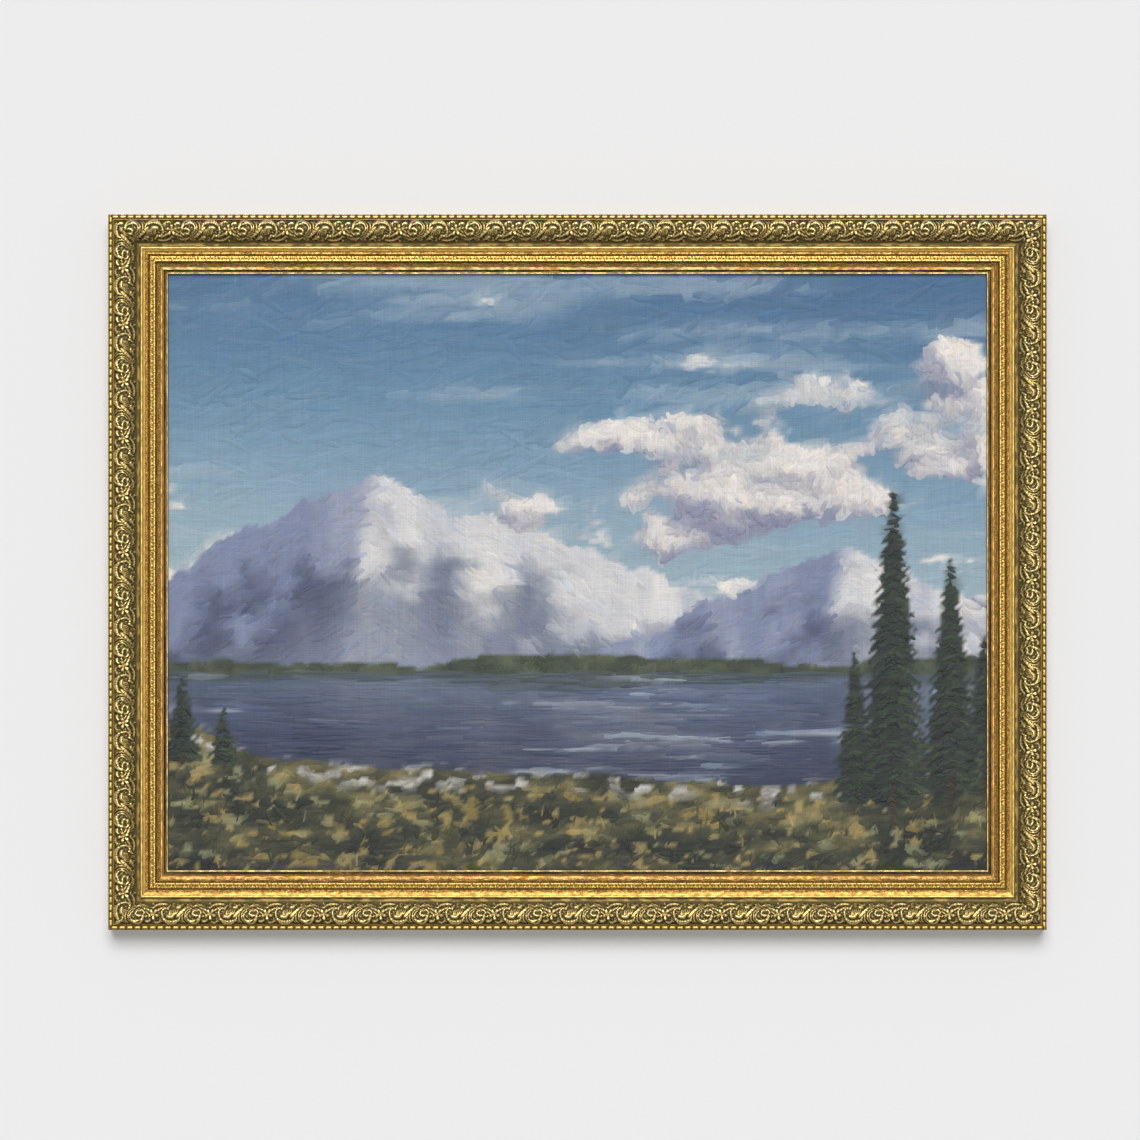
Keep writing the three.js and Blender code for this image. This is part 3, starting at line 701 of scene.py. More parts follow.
class Brush:
    """Lays strokes of paint over the view, each a low closed ribbon on those under it."""

    STATIONS, ACROSS = 7, (-1.0, -0.8, 0.8, 1.0)  # places along a stroke, and across it in half widths
    FINE = 4  # rows of raster places from one station to the next
    DIP = 0.02  # mm by which a stroke's rim goes under what it lies on

    def __init__(self, view, seed):
        self.view, self.rng = view, np.random.default_rng(seed)
        self.wet = view.colour.copy()
        self.height = np.zeros(view.shape)
        self.points, self.colours, self.bristles = [], [], []

    def lay(self, kinds, count, length, width, angle, lift, wobble, bend, vary, own):
        """Strokes where the view shows one of these kinds, along an angle that may depend on the place.

        length and width are ranges in mm, lift the thickness of the paint, wobble the spread of the angle,
        bend the spread of the turn along a stroke, vary the spread of its colour, and own how much of its own
        colour a stroke keeps against the wet paint under it.
        """
        view, rng = self.view, self.rng
        spots = np.argwhere(np.isin(view.where, kinds))
        picked = spots[rng.integers(0, len(spots), count)]
        for i, j in picked:
            x, z = view.x[i, j], view.z[i, j]
            long, wide = rng.uniform(*length), rng.uniform(*width)
            turn = (angle(x, z) if callable(angle) else angle) + rng.normal(0, wobble)
            curve = rng.normal(0, bend)
            s = np.linspace(0, 1, self.STATIONS)
            heading = turn + curve * (s - 0.5)
            step = long / (self.STATIONS - 1)
            px = x + np.concatenate([[0], np.cumsum(np.cos(heading[1:]) * step)]) - long / 2 * math.cos(turn)
            pz = z + np.concatenate([[0], np.cumsum(np.sin(heading[1:]) * step)]) - long / 2 * math.sin(turn)
            ends = view.cell(px[[1, -2]], pz[[1, -2]])
            if not np.isin(view.where[ends], kinds).all():
                continue
            # It is at its full width soon after its start, and narrows at its end.
            half = wide / 2 * np.minimum(1, (s + 0.06) / 0.16) ** 0.5 * (1 - 0.75 * s**5)
            half = half * (1 + 0.09 * rng.normal(size=self.STATIONS))
            v = np.array(self.ACROSS)
            sx = px[:, None] - np.sin(heading)[:, None] * half[:, None] * v
            sz = pz[:, None] + np.cos(heading)[:, None] * half[:, None] * v
            cells = view.cell(sx, sz)
            under = self.wet[cells]
            path = view.cell(*self.spread(px, pz, heading, half))
            # What lies under each station, as far as just past the next one.
            rides, reach = self.height[path], self.FINE + 1
            near = [rides[max(0, k - reach) : k + reach] for k in range(0, len(rides), self.FINE)]
            high, low = (np.array([take(rows) for rows in near])[:, None] for take in (np.max, np.min))
            tone = view.colour[i, j] * (1 + rng.normal(0, vary) + rng.normal(0, vary) * WARMER)
            # The brush runs dry: towards its end and edges a stroke takes on the colour under it.
            keep = own * (1 - 0.75 * s[:, None] ** 3) * (1 - 0.75 * np.abs(v) ** 6)
            colour = tone * keep[..., None] + under * (1 - keep[..., None])
            # The paint thins out along it, and stands higher at the sides, where the bristles push it.
            body = lift * (1 - 0.7 * s[:, None] ** 2) * (0.75 + 0.5 * np.abs(v))
            # The rim dips under whatever the stroke lies on, the rest clears it.
            level = np.where(np.abs(v) == 1, low - self.DIP, high + body)
            self.points.append(np.stack([sx, level, sz], -1))
            self.colours.append(np.clip(colour, 0, 1))
            self.bristles.append(np.stack([
                np.broadcast_to((s * long)[:, None], sx.shape), half[:, None] * v,
                np.full(sx.shape, 37.0 * len(self.points) % 997)], -1))  # its own stretch of the pattern
            # Mark the stroke in the wet paint and in its height.
            fine = np.linspace(0, 1, len(rides))[:, None]
            kept = np.interp(fine, s, keep[:, 1])[..., None]
            self.wet[path] = tone * kept + self.wet[path] * (1 - kept)
            self.height[path] = np.interp(fine, s, (high + body[:, 1:2])[:, 0])

    def spread(self, px, pz, heading, half):
        """Places all over a stroke, FINE rows of them to a station."""
        rough = np.arange(self.STATIONS)
        fine = np.linspace(0, self.STATIONS - 1, self.FINE * (self.STATIONS - 1) + 1)
        v = np.linspace(-1, 1, max(3, int(2.6 * half.max() / CELL) + 1))
        px, pz, heading, half = (
            np.interp(fine, rough, values)[:, None] for values in (px, pz, heading, half))
        return px - np.sin(heading) * half * v, pz + np.cos(heading) * half * v

    def piece(self, name, face):
        """The strokes laid so far as one mesh that stands on the linen's face."""
        count, across = len(self.points), len(self.ACROSS)
        each = self.STATIONS * across
        points = np.concatenate([p.reshape(-1, 3) for p in self.points])
        placed = np.stack([points[:, 0] * MM, face - points[:, 1] * MM, CENTRE_Z + points[:, 2] * MM], 1)
        faces = []
        for s in range(self.STATIONS - 1):
            a = s * across
            faces += [(a + k, a + k + 1, a + across + k + 1, a + across + k) for k in range(across - 1)]
            faces.append((a + across - 1, a, a + across, a + 2 * across - 1))
        first, last = list(range(across)), list(range(each - across, each))
        quads = (np.array(faces)[None] + each * np.arange(count)[:, None, None]).reshape(-1, 4)
        caps = np.concatenate([np.array([first[::-1]]), np.array([last])])
        caps = (caps[None] + each * np.arange(count)[:, None, None]).reshape(-1, across)
        mesh = bpy.data.meshes.new(name)
        mesh.from_pydata(placed.tolist(), [], quads.tolist() + caps.tolist())
        piece = bpy.data.objects.new(name, mesh)
        bpy.context.scene.collection.objects.link(piece)
        with editing(piece):
            bpy.ops.mesh.normals_make_consistent(inside=False)
        bpy.ops.object.shade_smooth_by_angle(angle=math.radians(60))
        set_colour(piece, np.concatenate([c.reshape(-1, 3) for c in self.colours]))
        set_vector(piece, "bristle", np.concatenate([b.reshape(-1, 3) for b in self.bristles]))
        set_attribute(piece, "painted", np.ones(len(placed)))
        self.points, self.colours, self.bristles = [], [], []
        return piece


def slope_way(x, z):
    """Strokes run down the nearer mountain's side."""
    peak = NEAR_PEAK if x < 60 else RIGHT_PEAK
    return -0.62 if x > peak else math.pi + 0.56


def bough_way(x, z):
    """Boughs hang to either side of the nearest trunk."""
    trunk = min(FIRS, key=lambda fir: abs(fir[0] - x))[0]
    return -0.5 if x > trunk else math.pi + 0.5


def cloud_way(x, z):
    """Strokes roll round the heaps of cloud."""
    return 0.3 + 1.5 * math.sin(x / 37 + z / 53)


# Each row: kinds, count, length, width, angle, lift, wobble, bend, vary, own; Brush.lay says what they mean.
SKY_STROKES = [
    ((SKY,), 420, (34, 80), (9, 17), 0.12, 0.012, 0.14, 0.25, 0.016, 0.62),
    ((SKY,), 420, (18, 44), (5, 10), 0.2, 0.012, 0.35, 0.5, 0.02, 0.6),
    ((CLOUD,), 560, (14, 34), (6, 12), cloud_way, 0.014, 0.5, 1.2, 0.015, 0.78),
    ((CLOUD,), 1080, (6, 18), (3, 7), cloud_way, 0.02, 0.7, 1.4, 0.02, 0.9),
]
LAND_STROKES = [
    ((FAR,), 190, (9, 24), (3, 6), -0.35, 0.012, 0.5, 0.4, 0.02, 0.8),
    ((ROCK,), 420, (12, 34), (4, 8), slope_way, 0.015, 0.25, 0.4, 0.025, 0.82),
    ((ROCK,), 520, (6, 16), (2.2, 4.6), slope_way, 0.025, 0.3, 0.4, 0.03, 0.95),
    ((WOODS,), 280, (4, 9), (2, 4), 1.5, 0.025, 0.4, 0.3, 0.06, 0.92),
    ((WATER,), 380, (26, 80), (3, 7.5), 0.0, 0.012, 0.03, 0.06, 0.025, 0.8),
    ((WATER,), 170, (12, 40), (1.4, 3.2), 0.0, 0.025, 0.03, 0.08, 0.04, 0.96),
    ((TURF,), 660, (8, 22), (3, 7), 0.2, 0.025, 0.5, 0.5, 0.04, 0.92),
    ((TURF,), 380, (5, 14), (1.2, 2.6), 1.35, 0.035, 0.35, 0.5, 0.07, 0.96),
    ((STONE,), 130, (4, 9), (2.4, 4.6), 0.1, 0.06, 0.3, 0.6, 0.04, 0.98),
    ((PINE,), 860, (4, 11), (1.8, 3.8), bough_way, 0.03, 0.3, 0.5, 0.05, 0.97),
]

# Materials -------------------------------------------------------------------------------------------------


def linear(text):
    """An sRGB hex colour as linear RGBA."""
    values = [int(text[i : i + 2], 16) / 255 for i in (1, 3, 5)]
    return (*[v / 12.92 if v <= 0.04045 else ((v + 0.055) / 1.055) ** 2.4 for v in values], 1)


COLOUR_A, COLOUR_B, COLOUR = 6, 7, 2  # which sockets of a Mix node take its two colours and give the result


class Finish:
    """A material under construction: its node tree and its principled shader."""

    def __init__(self, name, **shader):
        self.material = bpy.data.materials.new(name)
        self.material.use_nodes = True
        self.tree = self.material.node_tree
        self.shader = self.tree.nodes["Principled BSDF"]
        for key, value in shader.items():
            self.shader.inputs[key.replace("_", " ")].default_value = value

    def node(self, kind, feeds=(), out=0, stops=(), **settings):
        """Adds a node with its settings and gives one of its outputs.

        feeds holds what goes in at each input, a socket, a number or a hex colour; stops are a colour ramp's.
        """
        made = self.tree.nodes.new("ShaderNode" + kind)
        for key, value in settings.items():
            setattr(made, key, value)
        if stops:
            elements = made.color_ramp.elements
            while len(elements) < len(stops):
                elements.new(1)
            for element, (at, value) in zip(elements, stops):
                element.position = at
                element.color = linear(value) if isinstance(value, str) else (value, value, value, 1)
        for key, value in dict(feeds).items():
            if isinstance(value, bpy.types.NodeSocket):
                self.tree.links.new(value, made.inputs[key])
            else:
                made.inputs[key].default_value = linear(value) if isinstance(value, str) else value
        return made.outputs[out]

    def shade(self, **sockets):
        """Feeds the shader's own inputs."""
        for key, socket in sockets.items():
            self.tree.links.new(socket, self.shader.inputs[key.replace("_", " ")])

    def in_mm(self, size, stretch=(1, 1, 1), place=None):
        """A place, the object's own unless given, in units of size mm that are stretched along its axes."""
        if place is None:
            own = self.node("TexCoord", out="Object")
            place = self.node("VectorMath", {0: own, "Scale": 1 / MM}, operation="SCALE")
        return self.node("Mapping", {"Vector": place, "Scale": tuple(1 / (size * s) for s in stretch)})

    def patches(self, size, detail=3, stretch=(1, 1, 1), place=None, roughness=0.5):
        """A random pattern whose patches are about size mm across before they are stretched."""
        return self.node("TexNoise", {
            "Vector": self.in_mm(size, stretch, place), "Scale": 1, "Detail": detail, "Roughness": roughness})

    def layered(self, tone, *layers):
        """A tone under layers of (pattern, stops, colour): the stops give the cover by the pattern.

        Without stops the pattern is the cover itself.
        """
        for pattern, stops, colour in layers:
            cover = self.node("ValToRGB", {0: pattern}, stops=stops) if stops else pattern
            feeds = {0: cover, COLOUR_A: tone, COLOUR_B: colour}
            tone = self.node("Mix", feeds, out=COLOUR, data_type="RGBA")
        return tone

    def relief(self, distance, *heights):
        """Relief in the shading only, distance mm deep: each of heights is (pattern, strength)."""
        normal = None
        for pattern, strength in heights:
            feeds = {"Height": pattern, "Strength": strength, "Distance": distance * MM}
            if normal:
                feeds["Normal"] = normal
            normal = self.node("Bump", feeds)
        self.shade(Normal=normal)


RAIL_MM = 52.0  # span of the tone ramps across a rail
NOWHERE = (51, 51)  # a stretch of u beyond the gold
SHELLAC = "#fffbe6"  # the toned shellac over all the gold: it takes a little blue out of it
SHELLAC_GLOSS = 0.25  # a rubbed coat that adds little white gloss to the gold's own


def gilding(name, tones, metallic=0.55, mottle=0.35, stippled=NOWHERE, dull=NOWHERE):
    """Gold leaf and bronze paint toned with brown and olive over gesso, the bare wood at the rail's back.

    It gives a warm gold that is clouded by its brown glaze, bright on ledges and dark in grooves: a painted
    highlight and painted shade that its tones carry. tones give the colour across the rail as (u, hex); mottle
    is how strongly the glaze clouds it. stippled and dull are stretches of u: one dotted with brown, one
    painted olive with gold rubbed through.
    """
    made = Finish(name, Specular_IOR_Level=SHELLAC_GLOSS)
    rail = made.node("Attribute", out="Vector", attribute_name="rail")
    across, depth = (
        made.node("Math", {0: made.node("SeparateXYZ", {0: rail}, out=axis), 1: RAIL_MM}, operation="DIVIDE")
        for axis in (1, 2))
    patches = made.patches(9, 3, (3.2, 1, 1), rail)
    clouds = made.patches(2.2, 4, (2.4, 1, 1), rail)
    flecks = made.patches(0.8, 3, (1.3, 1, 1), rail)
    dots = made.patches(1.05, 3, (1.2, 1, 1), rail, 0.62)
    rubs = made.patches(4.2, 3, (2.1, 0.8, 1), rail)
    grain = made.patches(1.6, 4, (30, 1, 1), rail)

    def product(a, b):
        return made.node("Math", {0: a, 1: b}, operation="MULTIPLY")

    def rest_of(a):
        return made.node("Math", {0: 1.0, 1: a}, operation="SUBTRACT")

    def within(stretch):
        low, high = (at / RAIL_MM for at in stretch)
        fade = 0.003
        return made.node("ValToRGB", {0: across}, stops=[
            (low - fade, 0.0), (low + fade, 1.0), (high - fade, 1.0), (high + fade, 0.0)])

    def where(stretch, pattern, stops):
        return product(stretch, made.node("ValToRGB", {0: pattern}, stops=stops))

    olive = within(dull)
    dotted = where(within(stippled), dots, [(0.4, 0.85), (0.54, 0.0)])
    sparks = where(within(stippled), dots, [(0.54, 0.0), (0.7, 0.5)])
    rubbed = where(olive, rubs, [(0.48, 0.0), (0.6, 0.75)])
    tone = made.node("ValToRGB", {0: across}, stops=[(u / RAIL_MM, colour) for u, colour in tones])
    tone = made.layered(
        tone,
        (patches, [(0.42, 0.0), (0.66, 0.6 * mottle)], "#8a6a30"),
        (clouds, [(0.34, mottle), (0.52, 0.0)], "#62481a"),
    )
    # Where the glaze is thin the gold is brighter. A ramp ends at 1, so it gives half of the gain.
    gain = made.node("ValToRGB", {0: clouds}, stops=[(0.5, 0.5), (0.74, 0.5 + 0.5 * mottle)])
    tone = made.node("VectorMath", {0: tone, 1: product(gain, 2.0)}, operation="MULTIPLY")
    tone = made.layered(
        tone,
        (dotted, None, "#5c3c12"),
        (sparks, None, "#f2d48c"),
        (rubbed, None, "#b89c5e"),
        (flecks, [(0.28, 0.5), (0.42, 0.0)], "#4a3414"),
    )
    tone = made.node("VectorMath", {0: tone, 1: linear(SHELLAC)[:3]}, operation="MULTIPLY")
    wood_tone = made.node("ValToRGB", {0: grain}, stops=[
        (0.3, "#a8824e"), (0.55, "#c49d66"), (0.75, "#d6b47e")])
    bare = made.node("ValToRGB", {0: depth}, stops=[(0.02, 1.0), (0.035, 0.0)])
    worn = made.node("ValToRGB", {0: clouds}, stops=[(0.35, 0.5), (0.65, 0.3)])
    # The greys are roughness: the olive paint is dull, the bare wood duller.
    made.shade(
        Base_Color=made.layered(tone, (bare, None, wood_tone)),
        Metallic=product(rest_of(bare), product(rest_of(product(olive, 0.6)), metallic)),
        Roughness=made.layered(worn, (olive, None, "#bcbcbc"), (bare, None, "#d0d0d0")),
    )
    made.relief(0.12, (flecks, 0.3), (clouds, 0.25), (dotted, -0.5))
    return made


def carved_gilding(name, ground, hollow, body, rubbed, high, metallic=0.55, grit=0.3):
    """The carved parts: toned ground, old gold on the forms, rubbed gold and painted highlight on their
    crests.

    It gives relief that reads from afar, dark in its hollows with dark toning and painted shade. high is the
    height in mm at which a form is all gold, and grit how strongly its dark pits show.
    """
    made = Finish(name, Specular_IOR_Level=SHELLAC_GLOSS)
    rail = made.node("Attribute", out="Vector", attribute_name="rail")
    raised, ridge = (made.node("Attribute", out="Fac", attribute_name=key) for key in ("height", "ridge"))
    speck = made.patches(0.7, 4, place=rail)
    patch = made.patches(9, 2, place=rail)
    dots = made.patches(1.15, 3, place=rail, roughness=0.62)

    def swayed(value, pattern, by):
        """A value that a pattern sways up and down."""
        centred = made.node("Math", {0: pattern, 1: 0.5}, operation="SUBTRACT")
        sway = made.node("Math", {0: centred, 1: by}, operation="MULTIPLY")
        return made.node("Math", {0: value, 1: sway}, operation="ADD")

    lift = swayed(made.node("Math", {0: raised, 1: high}, operation="DIVIDE"), patch, 0.35)
    lift = swayed(lift, speck, 0.25)
    crest = swayed(ridge, speck, 0.3)
    tone = made.layered(
        ground,
        (lift, [(0.1, 0.0), (0.42, 1.0)], body),
        # Low places, against what lies round them, take the hollow colour: dark toning and painted shade.
        (crest, [(0.26, 1.0), (0.48, 0.0)], hollow),
        # High places take the rubbed colour: gold rubbed bright and a painted highlight.
        (crest, [(0.58, 0.0), (0.86, 0.95)], rubbed),
        (dots, [(0.33, 2 * grit), (0.47, 0.0)], hollow),
    )
    made.shade(
        Base_Color=made.node("VectorMath", {0: tone, 1: linear(SHELLAC)[:3]}, operation="MULTIPLY"),
        Roughness=made.node("ValToRGB", {0: crest}, stops=[(0.35, 0.55), (0.75, 0.3)]),
        Metallic=made.node("ValToRGB", {0: lift}, stops=[(0.05, metallic * 0.6), (0.45, metallic)]),
    )
    made.relief(0.2, (speck, 0.3), (dots, grit))
    return made


THREAD_MM = 0.95  # from thread to thread of the linen: real ones are finer, but would not show


def oil_paint():
    """Oil paint on linen: bristle marks in each stroke, the weave in thin paint, a satin varnish; the turned
    edges and the back are bare linen."""
    made = Finish("oil_paint_on_linen", Specular_IOR_Level=0.22)
    bristle = made.node("Attribute", out="Vector", attribute_name="bristle")
    paint = made.node("Attribute", out="Color", attribute_name="paint")
    painted = made.node("Attribute", out="Fac", attribute_name="painted")
    hairs = made.patches(0.62, 3, (26, 1, 1), bristle, 0.6)
    loads = made.patches(2.6, 2, (14, 1, 1), bristle)
    warp = made.patches(0.8, 2, (1, 1, 38))
    weft = made.patches(0.8, 2, (38, 1, 1))

    def joined(operation, *patterns):
        """Patterns taken together, one after the other."""
        total = patterns[0]
        for pattern in patterns[1:]:
            total = made.node("Math", {0: total, 1: pattern}, operation=operation)
        return total

    def strength(pattern, low, high):
        return made.node("ValToRGB", {0: pattern}, stops=[(0.3, low), (0.7, high)])

    streak = joined("ADD", strength(hairs, 0.38, 0.62), strength(loads, 0.46, 0.54))
    thread = joined("ADD", strength(warp, 0.44, 0.56), strength(weft, 0.45, 0.55))
    gain = joined("MULTIPLY", streak, thread)
    paint = made.node("VectorMath", {0: paint, "Scale": gain}, operation="SCALE")
    threads = [
        made.node("TexWave", {
            "Vector": made.in_mm(THREAD_MM), "Scale": math.pi / 10, "Distortion": 0.6, "Detail": 1,
            "Detail Scale": 0.6}, out="Fac", wave_type="BANDS", bands_direction=axis)
        for axis in "ZXY"
    ]
    weave = joined("MAXIMUM", *threads)
    slub = joined("ADD", made.patches(1.1, 3, (12, 12, 1)), made.patches(1.1, 3, (1, 12, 12)))
    linen = made.node("ValToRGB", {0: joined("MULTIPLY", weave, joined("MULTIPLY", slub, 0.5))},
                      stops=[(0.12, "#7d6e50"), (0.34, "#b3a27f"), (0.52, "#d3c4a2")])
    # The grey is the bare linen's roughness.
    made.shade(
        Base_Color=made.layered(linen, (painted, None, paint)),
        Roughness=made.layered("#dadada", (painted, None, strength(loads, 0.42, 0.58))),
    )
    made.relief(0.16, (weave, 0.22), (hairs, 0.7), (warp, 0.25), (weft, 0.25))
    return made


def wood(name, pale, mid, dark, axis, grain=1.8):
    """Planed wood, its grain running along one axis: pale bands with fine dark fibres, hardly any gloss."""
    made = Finish(name, Roughness=0.62)
    stretch = tuple(34 if k == axis else 1 for k in range(3))
    bands = made.patches(grain * 3.4, 2, stretch)
    fibre = made.patches(grain * 0.4, 3, stretch, roughness=0.65)
    tone = made.node("ValToRGB", {0: bands}, stops=[(0.32, dark), (0.44, mid), (0.62, pale), (0.7, mid)])
    made.shade(
        Base_Color=made.layered(tone, (fibre, [(0.35, 0.4), (0.55, 0.0)], dark)),
        Roughness=made.node("ValToRGB", {0: fibre}, stops=[(0.3, 0.72), (0.7, 0.55)]),
    )
    made.relief(0.2, (fibre, 0.3))
    return made


def zinc():
    """Zinc-plated steel: bright, slightly blue, with dull blooms and fine rolling marks."""
    made = Finish("zinc_plated_steel", Metallic=1.0)
    bloom = made.patches(5, 3)
    rolled = made.patches(0.5, 3, (24, 1, 1))
    tone = made.node("ValToRGB", {0: bloom}, stops=[(0.3, "#9a9fa4"), (0.5, "#b9bdc0"), (0.7, "#cfd2d2")])
    made.shade(
        Base_Color=made.layered(tone, (rolled, [(0.3, 0.35), (0.5, 0.0)], "#7d8388")),
        Roughness=made.node("ValToRGB", {0: bloom}, stops=[(0.35, 0.28), (0.65, 0.46)]),
    )
    made.relief(0.05, (rolled, 0.15))
    return made


# Colour across the moulding by u. Besides the gold and olive it holds painted light: the lighter fillet at 4.5
# and half-round crest at 28 are burnished gold with a painted highlight, and the dark tones at 26.1 to 26.6,
# at 34.0 to 34.4 and from 40.4 inwards are painted shade in the grooves and in the gap at the slip.
MOULDING_TONES_AND_SHADING = [
    (0, "#c2a564"), (4.2, "#bfa05c"), (4.5, "#dcc488"), (4.95, "#d2b87a"), (5.3, "#7f7447"), (6.0, "#6f6743"),
    (23.4, "#605836"), (24.2, "#7c7148"), (25.3, "#645833"), (26.1, "#3d3216"), (26.6, "#443614"),
    (26.9, "#b89c5a"), (28, "#dcc27e"), (29, "#c2a35c"), (30, "#a98946"), (31, "#9c7c3c"),
    (31.8, "#98743a"), (32.6, "#a27c3c"), (33.3, "#b48c48"), (33.8, "#a07838"), (34.0, "#54380f"),
    (34.4, "#54380f"), (40.1, "#8a6428"), (40.4, "#4a3010"), (52, "#4a3010"),
]
# Colour across the slip by u. The dark tone at 40.4 next to the moulding, and the bead at 41.1 kept darker
# than its gold, are painted shade where the moulding overhangs the slip.
SLIP_TONES_AND_SHADING = [
    (34, "#8a6428"), (40.4, "#4a300c"), (40.7, "#80602a"), (41.1, "#ac8850"), (41.5, "#84602c"),
    (42.3, "#8e6c36"), (43.4, "#8c6834"), (44.4, "#a07c42"), (45.5, "#987440"), (46.3, "#9a743a"),
    (46.7, "#3c2408"), (47.0, "#1e1004"), (48.3, "#1e1004"), (48.45, "#5c4020"), (48.8, "#d2ba88"),
    (49.6, "#c8b282"), (50, "#98804e"), (52, "#98804e"),
]


# Settings --------------------------------------------------------------------------------------------------


class CarvingSizes(bpy.types.PropertyGroup):
    """The repeats of the moulding's ornament, in millimetres."""

    scroll_repeat: FloatProperty(
        name="Scroll repeat", description="Length of one repeat of the acanthus", default=47.4)
    bead_repeat: FloatProperty(
        name="Bead repeat", description="From one bead of the outer edge to the next", default=6.38)
    leaf_repeat: FloatProperty(
        name="Leaf repeat", description="Length after which the sight band repeats", default=28.44)
    top_start: FloatProperty(
        name="Top start", description="First volute from the top rail's corner", default=20.5)
    right_start: FloatProperty(
        name="Right start", description="First volute from the right rail's corner", default=35.2)
    bottom_start: FloatProperty(
        name="Bottom start", description="First volute from the bottom rail's corner", default=1.3)
    left_start: FloatProperty(
        name="Left start", description="First volute from the left rail's corner", default=45.1)
    columns: IntProperty(
        name="Columns", description="Mesh columns in one repeat of the acanthus", default=122)
    rows: IntProperty(name="Rows", description="Mesh rows across the acanthus", default=54)
    kept: FloatProperty(
        name="Kept faces", description="Share of the carved faces that is kept", default=0.75,
        subtype="FACTOR")


class PaintingSizes(bpy.types.PropertyGroup):
    """The linen and the paint on it, in millimetres."""

    seed: IntProperty(name="Seed", description="Chooses the view that is painted", default=7)
    ground_cell: FloatProperty(name="Ground cell", description="Size of the linen's mesh cells", default=3.2)
    thickness: FloatProperty(name="Thickness", description="Thickness of the linen", default=0.8)
    wrap: FloatProperty(name="Wrap", description="From the painted face to the folded margin", default=19.1)
    margin: FloatProperty(name="Margin", description="Linen folded over the stretcher's back", default=13.0)


class StageSettings(bpy.types.PropertyGroup):
    """Wall, light and camera."""

    wall: StringProperty(name="Wall", description="Colour of the wall, sRGB hex", default="#e9e9e9")
    key: FloatProperty(
        name="Key", description="Soft light from above the camera, on a white wall", default=0.64)
    front: FloatProperty(
        name="Front", description="Light from the camera's side, on a white wall", default=0.21)
    ambient: FloatProperty(name="Ambient", description="Light from all round", default=0.18)
    behind: FloatProperty(name="Behind", description="Light on the hidden back", default=0.6)
    upper_gloss: FloatProperty(
        name="Upper gloss", description="Brightness of the upper card in the gold", default=1.9)
    front_gloss: FloatProperty(
        name="Front gloss", description="Brightness of the front card in the gold", default=0.4)
    distance: FloatProperty(name="Distance", description="Camera to wall", default=4.8, unit="LENGTH")
    view_width: FloatProperty(
        name="View width", description="Width of wall in view", default=0.9532, unit="LENGTH")
    view_left: FloatProperty(
        name="View left", description="View centre left of the picture's", default=0.0062, unit="LENGTH")
    view_up: FloatProperty(
        name="View up", description="View centre above the picture's", default=0.0018, unit="LENGTH")


# Operators -------------------------------------------------------------------------------------------------


def hand_over(piece, finish, slot, *nodes):
    """Gives a finished piece its material and its body, and hides the nodes it stands for; slot is not used.
    """
    piece.data.materials.clear()
    piece.data.materials.append(finish.material)
    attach(piece, "root")
    if nodes:
        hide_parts(*nodes)


def set_rail(piece, side, finish, slot, *nodes):
    """Stores (x, u, h) in mm at each vertex of a piece that lies as the top rail, then sets it in place."""
    turn, _, edge = SIDES[side]
    at = coordinates(piece) / MM
    along = at[:, 0] + 1700 * turn  # no two rails share a stretch of the pattern
    set_vector(piece, "rail", np.stack([along, edge / MM - at[:, 2], -at[:, 1]], 1))
    piece.data.transform(placement(turn))
    hand_over(piece, finish, slot, *nodes)


class PICTURE_OT_moulding(bpy.types.Operator):
    """Make the four rails of the moulding, with their bead edge, acanthus and leaf band"""

    bl_idname = "picture.moulding"
    bl_label = "Moulding"

    def execute(self, context):
        sizes = context.scene.picture_carving
        body = gilding("gilded_gesso", MOULDING_TONES_AND_SHADING, stippled=(31.3, 34.2), dull=(5.1, 26.7))
        # In each carved finish the second colour is for hollows, dark toning with painted shade, and the
        # fourth for crests, rubbed gold with a painted highlight.
        scroll = carved_gilding("gilded_acanthus", "#6e6446", "#463e26", "#ad9358", "#eedaa2", 2.2, grit=0.28)
        beads = carved_gilding("gilded_beads", "#8a6628", "#583a10", "#c0a052", "#e2c884", 1.0, grit=0.16)
        band = carved_gilding("gilded_leaf_band", "#98722e", "#684614", "#d0ac58", "#f6e298", 0.9, grit=0.5)
        columns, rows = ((sizes.columns, sizes.rows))
        units = {
            "acanthus": (SWELL, scroll_carving(sizes.scroll_repeat).unit(columns, rows, VOLUTE[0]), scroll),
            "bead_edge": (EDGE_ROUND, bead_carving(sizes.bead_repeat).unit(*BEAD_MESH, 0), beads),
            "leaf_band": (LEAF_BAND, leaf_carving(sizes.leaf_repeat).unit(*LEAF_MESH, 0), band),
        }
        for side, (_, length, edge) in SIDES.items():
            rail = section_bar(f"moulding_{side}", moulding_section(), length, edge)
            set_rail(rail, side, body, "gilt_moulding", f"frame_rail_{side}")
            for label, (section, unit, finish) in units.items():
                shift = getattr(sizes, side + "_start") if label == "acanthus" else unit["repeat"] / 2
                strip = carved_strip(f"{label}_{side}", section, unit, side, shift)
                if label == "acanthus":
                    apply_modifier(strip, "DECIMATE", ratio=sizes.kept)
                strip.data.shade_smooth()
                set_rail(strip, side, finish, "gilt_moulding")
        return {"FINISHED"}


class PICTURE_OT_slip(bpy.types.Operator):
    """Make the four rails of the slip"""

    bl_idname = "picture.slip"
    bl_label = "Slip"

    def execute(self, context):
        finish = gilding("gilded_slip", SLIP_TONES_AND_SHADING, metallic=0.5, mottle=0.5, stippled=(41.8, 44))
        for side, (_, length, edge) in SIDES.items():
            rail = section_bar(f"slip_face_{side}", slip_section(), length, edge)
            set_rail(rail, side, finish, "gilt_slip", f"slip_{side}")
        return {"FINISHED"}


